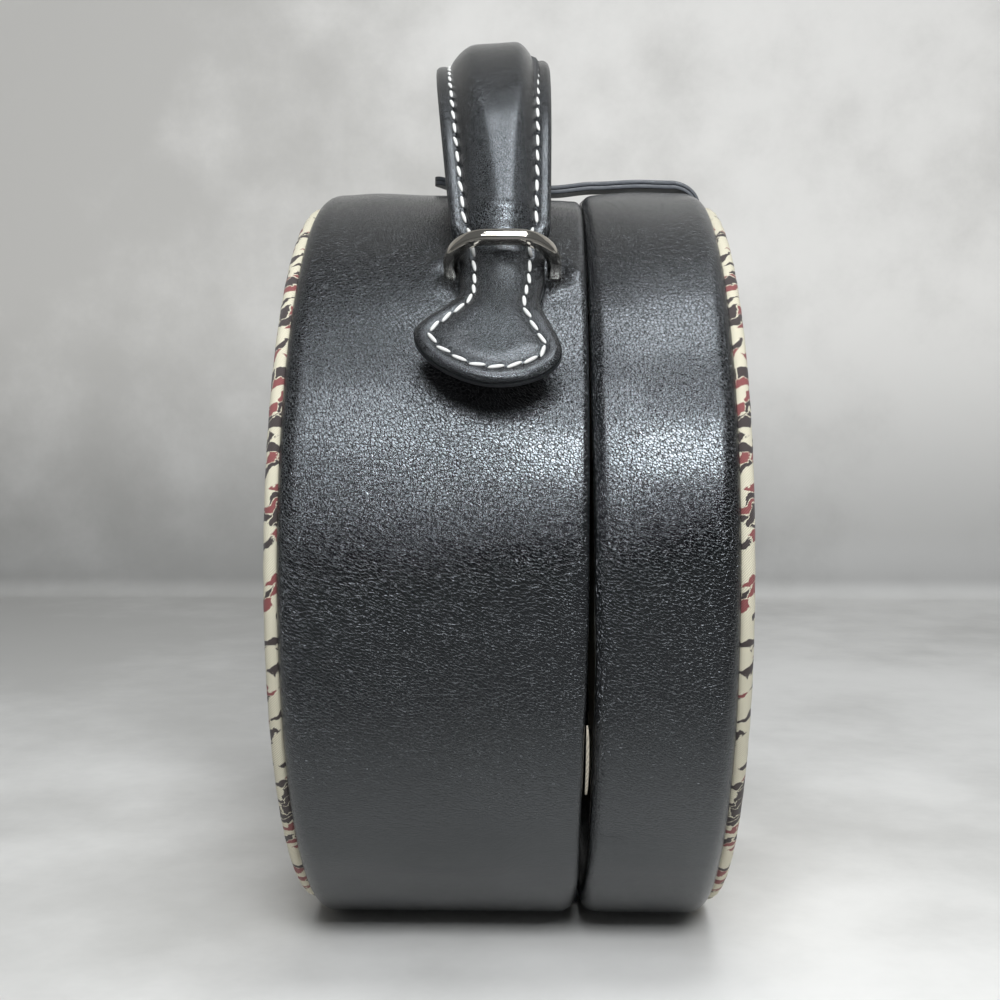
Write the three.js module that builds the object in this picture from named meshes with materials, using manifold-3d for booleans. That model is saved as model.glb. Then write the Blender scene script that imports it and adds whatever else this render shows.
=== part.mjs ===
// Round vanity case standing on a flattened base, with a hinged lid, a padded handle and a closure strap.
// Millimetres, +Z up. The drum's axis is X: the deep body is on the -X side and the lid is on the +X side.
// The origin is on the base plane, below the middle of the drum, on the body's flat underside.
import * as THREE from "three";
import { mergeVertices } from "three/addons/utils/BufferGeometryUtils.js";
import Module from "manifold-3d";

const wasm = await Module();
wasm.setup();

// Driving dimensions of the drum
const CASE_RADIUS = 115; // outside of the leather wall
const LEATHER_HALF_WIDTH = 58.2; // from the middle to where the leather meets the piping
const SEAM_X = 20; // plane where lid and body meet
const SEAM_GAP = 1.6;
const FLAT_HALF_ANGLE = THREE.MathUtils.degToRad(15); // half of the arc that the base flattens
const SEGMENTS = 48; // around the drum, so that the flat spans whole facets

// Wall layers, as radii, and fitting gaps
const FIT = 0.2; // glued faces
const HOLE_FIT = 0.25; // round a wire or a stem
const LOOSE_FIT = 0.3; // faces that only rest on each other
const LEATHER_INNER = 111.6;
const FRAME_OUTER = LEATHER_INNER - FIT;
const FRAME_INNER = 108.4;
const LINING_OUTER = FRAME_INNER - LOOSE_FIT;
const LINING_INNER = 107.2;

// Edges of the leather wall
const FACE_EDGE_RADIUS = 111; // where the leather ends beside the piping
const FACE_EDGE_ROLL = 7.2; // how far the wall rolls over towards the face
const FACE_EDGE_THICKNESS = 1.2;
const RIM_ROUND = 5; // rounding beside the seam
const RIM_WALL = 1.4; // leather over the end of the frame
const HEM_LENGTH = 7.2; // leather turned in past the rim
const HEM_ROUND = 1.2;

// Face panels
const BOARD_THICKNESS = 2.8;
const BOARD_OUTER_X = 57.3;
const FRAME_END_X = 56;
const PANEL_FACE_X = 62.05;
const PANEL_ROLL = 8.3; // width of the padded panel's rounded border
const PANEL_SKIRT_X = 60;
const PIPING_RADIUS = 2.2;
const PIPING_RING = 108.8;
const PIPING_X = 59.8;
const LINING_THICKNESS = 0.9;

// Mirror inside the lid
const MIRROR_RADIUS = 80;
const MIRROR_THICKNESS = 2;
const MIRROR_FRAME_OUTER = 88;
const MIRROR_FRAME_LIP = 77;
const MIRROR_FRAME_DEPTH = 3.1;
const MIRROR_LIP_THICKNESS = 0.7;
const MIRROR_BEVEL = 0.6;
const MIRROR_FRAME_BEVEL = 1.5;

// Handle: a flat leg through each loop, joined by an arch
const HANDLE_X = -2.05;
const LEG_ANGLE = THREE.MathUtils.degToRad(56); // slope of the legs from level
const LOOP_POINT = 85.9; // along and above the drum's centre, where a leg crosses its loop
const HANDLE_RISE = 154.3; // sewn plane of the arch above the drum's centre
const TAB_LENGTH = 40.6; // from the loop to the tip of the tab
const TAB_SHOULDER = 25.5; // from the loop to the widest part of the tab
const THROAT = 13; // from the loop to the narrowest part below it
const NECK_LOW = 2.5; // the neck is straight from here below the loop
const NECK_TOP = 6.2; // to here above it
const GRIP_FOOT = 12; // above the loop, where the grip starts to widen
const GRIP_FULL = 82; // above the loop, where the grip has its full width
const GRIP_WIDTH = 34;
const GRIP_FOOT_WIDTH = 27;
const GRIP_SWELL = 1.3; // 1 widens the grip evenly, more widens it sooner
const NECK_WIDTH = 22.6;
const THROAT_WIDTH = 21.4;
const TAB_WIDTH = 37.2;
const FLANGE = 4.2; // stitched border each side of the padding
const HANDLE_LEATHER = 1.5;
const EDGE_HEIGHT = 0.6; // of the cover at its cut edge
const EDGE_ROLL = 1.3; // over which the cover rises to its full thickness
const GRIP_PADDING = 6;
const FOOT_PADDING = 5;
const NECK_PADDING = 0.9;
const TAB_PADDING = 1.2;
const TIP_PADDING = 0.5;
const TAB_FULLNESS = 1.8; // 2 makes the end of the tab an oval, less makes it more pointed
const PADDING_FULL = 50; // above the loop, where the padding is full
const PADDING_FOOT = 16; // above the loop, where it starts to fall to the neck
const SEWN_GAP = 0.15; // half of the gap between the cover and the backing

// Metal loops that hold the handle
const LOOP_WIRE = 3.4; // side of the square wire
const LOOP_WIRE_BEVEL = 0.7;
const LOOP_INNER_WIDTH = 24.4;
const LOOP_ANGLE = THREE.MathUtils.degToRad(43.4); // from the top of the drum
const LOOP_BAR_RADIUS = 128.8; // middle of the bar from the drum's axis
const LOOP_CORNER = 6.8;
const LOOP_FOOT_RADIUS = 108.45; // the legs end flush with the backing plate
const PLATE_LENGTH = 35;
const PLATE_WIDTH = 10;
const PLATE_THICKNESS = 0.9;

// Closure strap and its magnetic fastener
const STRAP_WIDTH = 10;
const STRAP_THICKNESS = 2.7;
const STRAP_SKIVED = 1.6; // thickness of the thinned end beside the piping
const STRAP_TIP_X = -25.7;
const STRAP_TIP_ROUND = 5;
const STRAP_TIP_CURL = 2; // rise of the tip
const STRAP_CURL_X = -17; // where the tip starts to rise
const STRAP_RELIEF = 0.5; // clearance where the free part meets the sewn part
const MAGNET_X = -11;
const MAGNET_BASE_RADIUS = 4.6;
const MAGNET_CAP_RADIUS = 4;
const MAGNET_DISC = 0.8;
const MAGNET_EDGE = 0.3;
const MAGNET_STEM_RADIUS = 1.5;
const WASHER_RADIUS = 5;

// Leather hinge folded between the rims
const HINGE_HALF_LENGTH = 27;
const HINGE_FOLD_Z = 2;
const HINGE_TOP_Z = 7.6;
const HINGE_LEAF = 0.55;
const HINGE_CLEARANCE = 0.1;

// Derived positions
const FLAT_DEPTH = CASE_RADIUS * (1 - Math.cos(FLAT_HALF_ANGLE));
const CENTRE_Z = CASE_RADIUS - FLAT_DEPTH;
const TOP_Z = CENTRE_Z + CASE_RADIUS;
const BODY_RIM_X = SEAM_X - SEAM_GAP / 2;
const LID_RIM_X = SEAM_X + SEAM_GAP / 2;
const BOARD_INNER_X = BOARD_OUTER_X - BOARD_THICKNESS;
const LINING_FACE_X = BOARD_INNER_X - FIT;

// Materials
const leather = new THREE.MeshStandardMaterial({ color: 0x1a1b1d, roughness: 0.45, metalness: 0 });
const edgePaint = new THREE.MeshStandardMaterial({ color: 0x2a2c31, roughness: 0.6, metalness: 0 });
const printedCloth = new THREE.MeshStandardMaterial({ color: 0xe6dfc6, roughness: 0.85, metalness: 0 });
const liningCloth = new THREE.MeshStandardMaterial({ color: 0xcfc4ae, roughness: 0.9, metalness: 0 });
const fibreboard = new THREE.MeshStandardMaterial({ color: 0x86745c, roughness: 0.95, metalness: 0 });
const filler = new THREE.MeshStandardMaterial({ color: 0x4b4b4b, roughness: 0.95, metalness: 0 });
const plating = new THREE.MeshStandardMaterial({ color: 0xd9d7d1, roughness: 0.12, metalness: 1 });
const silvering = new THREE.MeshStandardMaterial({ color: 0xe8edf0, roughness: 0.03, metalness: 1 });

// Points of an elliptical arc in a profile, where a profile point is (radius, x)
function arc(radius, x, radial, axial, from, to, steps) {
  return Array.from({ length: steps + 1 }, (_, i) => {
    const angle = THREE.MathUtils.degToRad(from + ((to - from) * i) / steps);
    return new THREE.Vector2(radius + radial * Math.sin(angle), x + axial * Math.cos(angle));
  });
}

function at(radius, x) {
  return new THREE.Vector2(radius, x);
}

// Each concentric layer of the drum gets its own flat at the base, so the wall keeps its thickness there.
function flattenBase(geometry) {
  const position = geometry.getAttribute("position");
  for (let i = 0; i < position.count; i++) {
    const y = position.getY(i);
    const z = position.getZ(i);
    const flatHeight = Math.hypot(y, z) - FLAT_DEPTH;
    if (flatHeight > 0 && z < -flatHeight) {
      position.setY(i, (y * flatHeight) / -z);
      position.setZ(i, -flatHeight);
    }
  }
  return geometry;
}

// A profile revolved about the drum's axis; a profile that starts off the axis is closed into a ring
function revolve(profile) {
  const outline = profile[0].x === 0 ? profile : [...profile, profile[0].clone()];
  return new THREE.LatheGeometry(outline, SEGMENTS).rotateZ(-Math.PI / 2);
}

// A layer of the drum, flattened at the base and set at its height
function drumLayer(profile) {
  return flattenBase(revolve(profile)).translate(0, 0, CENTRE_Z);
}

// The same profile for the other side of the case
function mirrored(profile) {
  return profile.map((point) => at(point.x, -point.y)).reverse();
}

// A piece drawn at the top of the drum with its height measured from the axis, swung round by an angle
function seated(geometry, angle) {
  return geometry.rotateX(angle).translate(0, 0, CENTRE_Z);
}

// Solids for cutting
function solid(geometry) {
  const bare = geometry.clone();
  bare.deleteAttribute("normal");
  bare.deleteAttribute("uv");
  const merged = mergeVertices(bare, 1e-4);
  return new wasm.Manifold(
    new wasm.Mesh({
      numProp: 3,
      vertProperties: new Float32Array(merged.getAttribute("position").array),
      triVerts: new Uint32Array(merged.index.array),
    }),
  );
}

function cut(geometry, tools) {
  const rest = tools.reduce((body, tool) => body.subtract(solid(tool)), solid(geometry)).getMesh();
  const result = new THREE.BufferGeometry();
  result.setAttribute("position", new THREE.BufferAttribute(rest.vertProperties, 3));
  result.setIndex(new THREE.BufferAttribute(rest.triVerts, 1));
  result.computeVertexNormals();
  return result;
}

// A closed skin through stations; each has an origin, two directions and a contour drawn in them
function loft(stations) {
  const count = stations[0].contour.length;
  const points = stations.flatMap(({ origin, across, out, contour }) =>
    contour.map((p) => origin.clone().addScaledVector(across, p.x).addScaledVector(out, p.y)),
  );
  const index = [];
  for (let s = 0; s + 1 < stations.length; s++) {
    for (let i = 0; i < count; i++) {
      const here = s * count + i;
      const beside = s * count + ((i + 1) % count);
      index.push(here, beside, beside + count, here, beside + count, here + count);
    }
  }
  const end = points.length - count;
  for (const [a, b, c] of THREE.ShapeUtils.triangulateShape(stations[0].contour, [])) index.push(a, c, b);
  for (const [a, b, c] of THREE.ShapeUtils.triangulateShape(stations.at(-1).contour, [])) {
    index.push(end + a, end + b, end + c);
  }
  const geometry = new THREE.BufferGeometry().setFromPoints(points);
  geometry.setIndex(index);
  geometry.computeVertexNormals();
  return geometry;
}

// Smooth value between knots given as [position, value] in rising order
function eased(position, knots) {
  const after = knots.findIndex(([place]) => place >= position);
  if (after === 0) return knots[0][1];
  if (after < 0) return knots.at(-1)[1];
  const [[from, low], [to, high]] = [knots[after - 1], knots[after]];
  return THREE.MathUtils.lerp(low, high, THREE.MathUtils.smoothstep(position, from, to));
}

// Leather walls: one skin rolled over the face edge, along the wall and turned in round the rim.
// It is drawn for the body, with the face on the -X side.
function wrapProfile(rimX) {
  const rollX = FACE_EDGE_ROLL - LEATHER_HALF_WIDTH;
  return [
    at(LEATHER_INNER, FACE_EDGE_THICKNESS - LEATHER_HALF_WIDTH),
    ...arc(FACE_EDGE_RADIUS, rollX, CASE_RADIUS - FACE_EDGE_RADIUS, FACE_EDGE_ROLL, 180, 90, 4),
    ...arc(CASE_RADIUS - RIM_ROUND, rimX - RIM_ROUND, RIM_ROUND, RIM_ROUND, 90, 0, 3),
    ...arc(LINING_INNER + HEM_ROUND, rimX - HEM_ROUND, HEM_ROUND, HEM_ROUND, 0, -90, 2),
    at(LINING_INNER, rimX - HEM_LENGTH),
    at(LINING_OUTER, rimX - HEM_LENGTH),
    at(LINING_OUTER, rimX - RIM_WALL),
    at(LEATHER_INNER, rimX - RIM_WALL),
  ];
}

function frameProfile(fromX, toX) {
  return [at(FRAME_INNER, toX), at(FRAME_INNER, fromX), at(FRAME_OUTER, fromX), at(FRAME_OUTER, toX)];
}

function liningProfile(fromX, toX) {
  return [at(LINING_INNER, toX), at(LINING_INNER, fromX), at(LINING_OUTER, fromX), at(LINING_OUTER, toX)];
}

// Face panels, drawn for the back of the body and mirrored for the front of the lid
const boardProfile = [
  at(0, -BOARD_OUTER_X),
  at(FRAME_INNER - FIT, -BOARD_OUTER_X),
  at(FRAME_INNER - FIT, -BOARD_INNER_X),
  at(0, -BOARD_INNER_X),
];
const panelRadius = PIPING_RING - PIPING_RADIUS - LOOSE_FIT;
const panelProfile = [
  at(0, -PANEL_FACE_X),
  ...arc(panelRadius - PANEL_ROLL, -PANEL_SKIRT_X, PANEL_ROLL, PANEL_FACE_X - PANEL_SKIRT_X, 180, 90, 3),
  at(panelRadius, -BOARD_OUTER_X - FIT),
  at(0, -BOARD_OUTER_X - FIT),
];
const pipingProfile = arc(PIPING_RING, -PIPING_X, PIPING_RADIUS, PIPING_RADIUS, 270, -45, 7);
const faceLiningProfile = [
  at(0, -LINING_FACE_X),
  at(LINING_INNER - FIT, -LINING_FACE_X),
  at(LINING_INNER - FIT, LINING_THICKNESS - LINING_FACE_X),
  at(0, LINING_THICKNESS - LINING_FACE_X),
];

// Mirror and its frame lie on the lid's face lining
const mirrorBackX = LINING_FACE_X - LINING_THICKNESS - LOOSE_FIT;
const mirrorProfile = [
  at(0, mirrorBackX - MIRROR_THICKNESS),
  at(MIRROR_RADIUS - MIRROR_BEVEL, mirrorBackX - MIRROR_THICKNESS),
  at(MIRROR_RADIUS, mirrorBackX - MIRROR_THICKNESS + MIRROR_BEVEL),
  at(MIRROR_RADIUS, mirrorBackX),
  at(0, mirrorBackX),
];
const mirrorFrameFace = mirrorBackX - MIRROR_FRAME_DEPTH;
const mirrorFrameProfile = [
  at(MIRROR_FRAME_LIP, mirrorFrameFace + MIRROR_LIP_THICKNESS),
  at(MIRROR_FRAME_LIP, mirrorFrameFace),
  at(MIRROR_FRAME_OUTER - MIRROR_FRAME_BEVEL, mirrorFrameFace),
  at(MIRROR_FRAME_OUTER, mirrorFrameFace + MIRROR_FRAME_BEVEL),
  at(MIRROR_FRAME_OUTER, mirrorBackX),
  at(MIRROR_RADIUS + LOOSE_FIT, mirrorBackX),
  at(MIRROR_RADIUS + LOOSE_FIT, mirrorFrameFace + MIRROR_LIP_THICKNESS),
];

// Loops: bent square wire with feet that pass through the wall into a plate behind the frame's inner face
const legOffset = (LOOP_INNER_WIDTH + LOOP_WIRE) / 2;
const cornerSteps = 6;
const wireHalf = LOOP_WIRE / 2;
const wireFlat = wireHalf - LOOP_WIRE_BEVEL;
const wireReach = Math.hypot(wireHalf, wireFlat);
const wireMiddle = new THREE.Vector2();
const wireContour = [0, 1, 2, 3].flatMap((side) => {
  const turn = (side * Math.PI) / 2;
  return [-wireFlat, wireFlat].map((y) => new THREE.Vector2(wireHalf, y).rotateAround(wireMiddle, turn));
});

function wireStation(x, height, angle) {
  return {
    origin: new THREE.Vector3(HANDLE_X + x, 0, height),
    across: new THREE.Vector3(0, 1, 0),
    out: new THREE.Vector3(-Math.sin(angle), 0, Math.cos(angle)),
    contour: wireContour,
  };
}

function cornerStation(x, turn) {
  const height = LOOP_BAR_RADIUS - LOOP_CORNER + LOOP_CORNER * Math.cos(turn);
  return wireStation(x - LOOP_CORNER * Math.sin(turn), height, turn);
}

function loopWire() {
  const cornerX = legOffset - LOOP_CORNER;
  const turns = Array.from({ length: cornerSteps + 1 }, (_, i) => (i * Math.PI) / 2 / cornerSteps);
  return loft([
    wireStation(-legOffset, LOOP_FOOT_RADIUS, Math.PI / 2),
    ...turns.map((turn) => cornerStation(-cornerX, Math.PI / 2 - turn)),
    ...turns.map((turn) => cornerStation(cornerX, -turn)),
    wireStation(legOffset, LOOP_FOOT_RADIUS, -Math.PI / 2),
  ]);
}

function rod(radius, x, fromZ, toZ, sides) {
  const geometry = new THREE.CylinderGeometry(radius, radius, toZ - fromZ, sides).rotateX(Math.PI / 2);
  return geometry.translate(x, 0, (fromZ + toZ) / 2);
}

function loopPlate() {
  const outline = new THREE.Shape([
    new THREE.Vector2(-PLATE_LENGTH / 2, -PLATE_WIDTH / 2),
    new THREE.Vector2(PLATE_LENGTH / 2, -PLATE_WIDTH / 2),
    new THREE.Vector2(PLATE_LENGTH / 2, PLATE_WIDTH / 2),
    new THREE.Vector2(-PLATE_LENGTH / 2, PLATE_WIDTH / 2),
  ]);
  for (const x of [-legOffset, legOffset]) {
    outline.holes.push(new THREE.Path().absarc(x, 0, wireReach + FIT, 0, 2 * Math.PI, true));
  }
  const extrusion = { depth: PLATE_THICKNESS, bevelEnabled: false, curveSegments: 16 };
  return new THREE.ExtrudeGeometry(outline, extrusion).translate(HANDLE_X, 0, LOOP_FOOT_RADIUS);
}

const holeTop = CASE_RADIUS + 5; // past the leather
const pocketLow = FRAME_INNER - 1; // past the frame's inner face

function legHoles(angle) {
  return [-legOffset, legOffset].map((x) =>
    seated(rod(wireReach + HOLE_FIT, HANDLE_X + x, LINING_OUTER, holeTop, 16), angle),
  );
}

function platePocket(angle) {
  const depth = LOOP_FOOT_RADIUS + PLATE_THICKNESS + FIT - pocketLow;
  const box = new THREE.BoxGeometry(PLATE_LENGTH + 2 * FIT, PLATE_WIDTH + 2 * FIT, depth);
  return seated(box.translate(HANDLE_X, 0, pocketLow + depth / 2), angle);
}

// Handle: stations run from the far tab over the arch to the near tab
const slope = Math.cos(LEG_ANGLE);
const drop = Math.sin(LEG_ANGLE);
const archRadius =
  (LOOP_POINT * drop - (HANDLE_RISE - LOOP_POINT) * slope) / (drop * drop - slope * (1 - slope));
const legLength = (LOOP_POINT - archRadius * drop) / slope;
const archHalf = archRadius * LEG_ANGLE;
const toLoop = archHalf + legLength;
const tabTip = TAB_LENGTH - TAB_SHOULDER;

function handleFrame(along) {
  const bend = THREE.MathUtils.clamp(along, -archHalf, archHalf) / archRadius;
  const straight = Math.max(Math.abs(along) - archHalf, 0);
  const y = archRadius * Math.sin(bend) + Math.sign(along) * straight * slope;
  const z = HANDLE_RISE - archRadius * (1 - Math.cos(bend)) - straight * drop;
  return {
    origin: new THREE.Vector3(HANDLE_X, y, CENTRE_Z + z),
    across: new THREE.Vector3(1, 0, 0),
    out: new THREE.Vector3(0, Math.sin(bend), Math.cos(bend)),
  };
}

// Distances from the apex become distances past the loop: negative on the grip, positive on the tab
function pastLoop(along) {
  return Math.abs(along) - toLoop;
}

function gripWidth(past) {
  const below = Math.max(1 - (-past - GRIP_FOOT) / (GRIP_FULL - GRIP_FOOT), 0);
  return GRIP_WIDTH - (GRIP_WIDTH - GRIP_FOOT_WIDTH) * Math.pow(below, GRIP_SWELL);
}

function handleWidth(along) {
  const past = pastLoop(along);
  if (past < -GRIP_FOOT) return gripWidth(past);
  if (past > TAB_SHOULDER) {
    const tip = (past - TAB_SHOULDER) / tabTip;
    return TAB_WIDTH * Math.pow(1 - Math.pow(tip, TAB_FULLNESS), 1 / TAB_FULLNESS);
  }
  return eased(past, [
    [-GRIP_FOOT, GRIP_FOOT_WIDTH],
    [-NECK_TOP, NECK_WIDTH],
    [NECK_LOW, NECK_WIDTH],
    [THROAT, THROAT_WIDTH],
    [TAB_SHOULDER, TAB_WIDTH],
  ]);
}

function handlePadding(along) {
  return eased(pastLoop(along), [
    [-PADDING_FULL, GRIP_PADDING],
    [-PADDING_FOOT, FOOT_PADDING],
    [-NECK_TOP, NECK_PADDING],
    [NECK_LOW, NECK_PADDING],
    [TAB_SHOULDER, TAB_PADDING],
    [TAB_LENGTH, TIP_PADDING],
  ]);
}

// Half an oval standing on the level y, listed from one side to the other
function dome(halfWidth, y, height, steps, leftToRight) {
  const side = leftToRight ? -1 : 1;
  return Array.from({ length: steps + 1 }, (_, i) => {
    const angle = (i * Math.PI) / steps;
    return new THREE.Vector2(side * halfWidth * Math.cos(angle), y + height * Math.sin(angle));
  });
}

const hollowSide = 1; // thickness of the cover beside the hollow for the filler
const hollowRoof = 1.3; // and above it
const fillerGap = 0.5;

function coverContour(along) {
  const half = handleWidth(along) / 2;
  const padding = handlePadding(along);
  const padHalf = Math.max(half - FLANGE, half * 0.3);
  const hollowHalf = Math.max(padHalf - hollowSide, padHalf * 0.7);
  const borderHalf = half - Math.min(EDGE_ROLL, half * 0.3);
  const top = SEWN_GAP + HANDLE_LEATHER;
  const edge = SEWN_GAP + EDGE_HEIGHT;
  return [
    new THREE.Vector2(-half, SEWN_GAP),
    ...dome(hollowHalf, SEWN_GAP, top + padding - SEWN_GAP - hollowRoof, 5, true),
    new THREE.Vector2(half, SEWN_GAP),
    new THREE.Vector2(half, edge),
    new THREE.Vector2(borderHalf, top),
    ...dome(padHalf, top, padding, 6, false),
    new THREE.Vector2(-borderHalf, top),
    new THREE.Vector2(-half, edge),
  ];
}

function coreContour(along) {
  const half = handleWidth(along) / 2 - FLANGE - hollowSide - fillerGap;
  const height = HANDLE_LEATHER + handlePadding(along) - hollowRoof - fillerGap;
  return dome(half, SEWN_GAP, height, 5, false);
}

function backingContour(along) {
  const half = handleWidth(along) / 2;
  return [
    new THREE.Vector2(-half, -SEWN_GAP - HANDLE_LEATHER),
    new THREE.Vector2(half, -SEWN_GAP - HANDLE_LEATHER),
    new THREE.Vector2(half, -SEWN_GAP),
    new THREE.Vector2(-half, -SEWN_GAP),
  ];
}

// Stations past the loop, closer together round the tab's end and at the loop
const tabEnd = [0.2, 1, 2.6, 5.6, 9.6, 13].map((fromTip) => TAB_LENGTH - fromTip);
const throatRows = [23, 20, 17, THROAT, 8, NECK_LOW, -NECK_TOP, -GRIP_FOOT, -PADDING_FOOT, -23, -32, -42];
const archSteps = 7;
const farHalf = [
  ...[...tabEnd, TAB_SHOULDER, ...throatRows].map((past) => past + toLoop),
  ...Array.from({ length: archSteps + 1 }, (_, i) => (archHalf * (archSteps - i)) / archSteps),
];
const handleStations = [...farHalf, ...farHalf.slice(0, -1).reverse().map((along) => -along)];
const coreStations = handleStations.filter((along) => pastLoop(along) < TAB_LENGTH - 5);

function handlePiece(contour, stations) {
  return loft(stations.map((along) => ({ ...handleFrame(along), contour: contour(along) })));
}

// Closure strap: level from the snap to the lid's rolled front edge, then over it to the piping
const strapLow = TOP_Z + FIT;
const capTop = strapLow + MAGNET_DISC + LOOSE_FIT + MAGNET_DISC;
const strapHigh = capTop + FIT;
const rollStartX = LEATHER_HALF_WIDTH - FACE_EDGE_ROLL;

function strapStation(x, z, out, half, thickness) {
  return {
    origin: new THREE.Vector3(x, 0, z),
    across: new THREE.Vector3(0, 1, 0),
    out,
    contour: [
      new THREE.Vector2(-half, 0),
      new THREE.Vector2(half, 0),
      new THREE.Vector2(half, thickness),
      new THREE.Vector2(-half, thickness),
    ],
  };
}

function strapHeight(x) {
  return strapHigh + STRAP_TIP_CURL * THREE.MathUtils.smoothstep(-x, -STRAP_CURL_X, -STRAP_TIP_X);
}

function strapHalf(x) {
  const short = Math.max(STRAP_TIP_ROUND - (x - STRAP_TIP_X), 0);
  return STRAP_WIDTH / 2 - STRAP_TIP_ROUND + Math.sqrt(STRAP_TIP_ROUND ** 2 - short ** 2);
}

function closureTab() {
  const tipRows = [0.05, 0.4, 1, 1.9, 3.2, STRAP_TIP_ROUND].map((row) => STRAP_TIP_X + row);
  const rows = [...tipRows, STRAP_CURL_X - 1.5, STRAP_CURL_X, rollStartX - STRAP_RELIEF];
  const up = new THREE.Vector3(0, 0, 1);
  return loft(rows.map((x) => strapStation(x, strapHeight(x), up, strapHalf(x), STRAP_THICKNESS)));
}

// The sewn end keeps its distance from the leather's roll, thins out and stops just above the piping
function closureAnchor() {
  const axial = FACE_EDGE_ROLL + FIT;
  const radial = strapHigh - CENTRE_Z - FACE_EDGE_RADIUS;
  const last = Math.acos(FIT / radial);
  const steps = 8;
  return loft(
    Array.from({ length: steps + 1 }, (_, i) => {
      const turn = (last * i) / steps;
      const x = rollStartX + axial * Math.sin(turn);
      const z = CENTRE_Z + FACE_EDGE_RADIUS + radial * Math.cos(turn);
      const out = new THREE.Vector3(radial * Math.sin(turn), 0, axial * Math.cos(turn)).normalize();
      const thickness = THREE.MathUtils.lerp(STRAP_THICKNESS, STRAP_SKIVED, i / steps);
      return strapStation(x, z, out, STRAP_WIDTH / 2, thickness);
    }),
  );
}

// Snap pieces, turned about an upright axis
function turned(profile) {
  const geometry = new THREE.LatheGeometry(profile, SEGMENTS / 2).rotateX(Math.PI / 2);
  return geometry.translate(MAGNET_X, 0, 0);
}

const baseLow = TOP_Z + FIT;
const stemFoot = CENTRE_Z + LOOP_FOOT_RADIUS;
const magnetBaseProfile = [
  at(0, stemFoot),
  at(MAGNET_STEM_RADIUS, stemFoot),
  at(MAGNET_STEM_RADIUS, baseLow),
  at(MAGNET_BASE_RADIUS, baseLow),
  at(MAGNET_BASE_RADIUS, baseLow + MAGNET_DISC - MAGNET_EDGE),
  at(MAGNET_BASE_RADIUS - MAGNET_EDGE, baseLow + MAGNET_DISC),
  at(0, baseLow + MAGNET_DISC),
];
const capLow = capTop - MAGNET_DISC;
const magnetCapProfile = [
  at(0, capLow),
  at(MAGNET_CAP_RADIUS, capLow),
  at(MAGNET_CAP_RADIUS, capTop),
  at(0, capTop),
];
const washerProfile = [
  at(MAGNET_STEM_RADIUS + FIT, stemFoot + PLATE_THICKNESS),
  at(MAGNET_STEM_RADIUS + FIT, stemFoot),
  at(WASHER_RADIUS, stemFoot),
  at(WASHER_RADIUS, stemFoot + PLATE_THICKNESS),
];
const stemHole = rod(MAGNET_STEM_RADIUS + HOLE_FIT, MAGNET_X, stemFoot - FIT, CENTRE_Z + holeTop, 24);
const pocketTop = stemFoot + PLATE_THICKNESS + FIT;
const washerPocket = rod(WASHER_RADIUS + FIT, MAGNET_X, CENTRE_Z + pocketLow - 1, pocketTop, 32);

function hingeLeaf(x) {
  const low = HINGE_FOLD_Z + HINGE_CLEARANCE;
  const leaf = new THREE.BoxGeometry(HINGE_LEAF, 2 * HINGE_HALF_LENGTH, HINGE_TOP_Z - low);
  return leaf.translate(x, 0, (HINGE_TOP_Z + low) / 2);
}

function piece(name, geometry, material) {
  const mesh = new THREE.Mesh(geometry, material);
  mesh.name = name;
  return mesh;
}

const wallHoles = [...legHoles(LOOP_ANGLE), ...legHoles(-LOOP_ANGLE), stemHole];
const pockets = [platePocket(LOOP_ANGLE), platePocket(-LOOP_ANGLE), washerPocket];
const leafOffset = SEAM_GAP / 2 - HINGE_CLEARANCE - HINGE_LEAF / 2;
const bodyFrameProfile = frameProfile(-FRAME_END_X, BODY_RIM_X - RIM_WALL - LOOSE_FIT);
const bodyLiningProfile = liningProfile(-LINING_FACE_X, BODY_RIM_X - HEM_LENGTH - LOOSE_FIT);
const lidFrameProfile = frameProfile(LID_RIM_X + RIM_WALL + LOOSE_FIT, FRAME_END_X);
const lidLiningProfile = liningProfile(LID_RIM_X + HEM_LENGTH + LOOSE_FIT, LINING_FACE_X);

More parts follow.
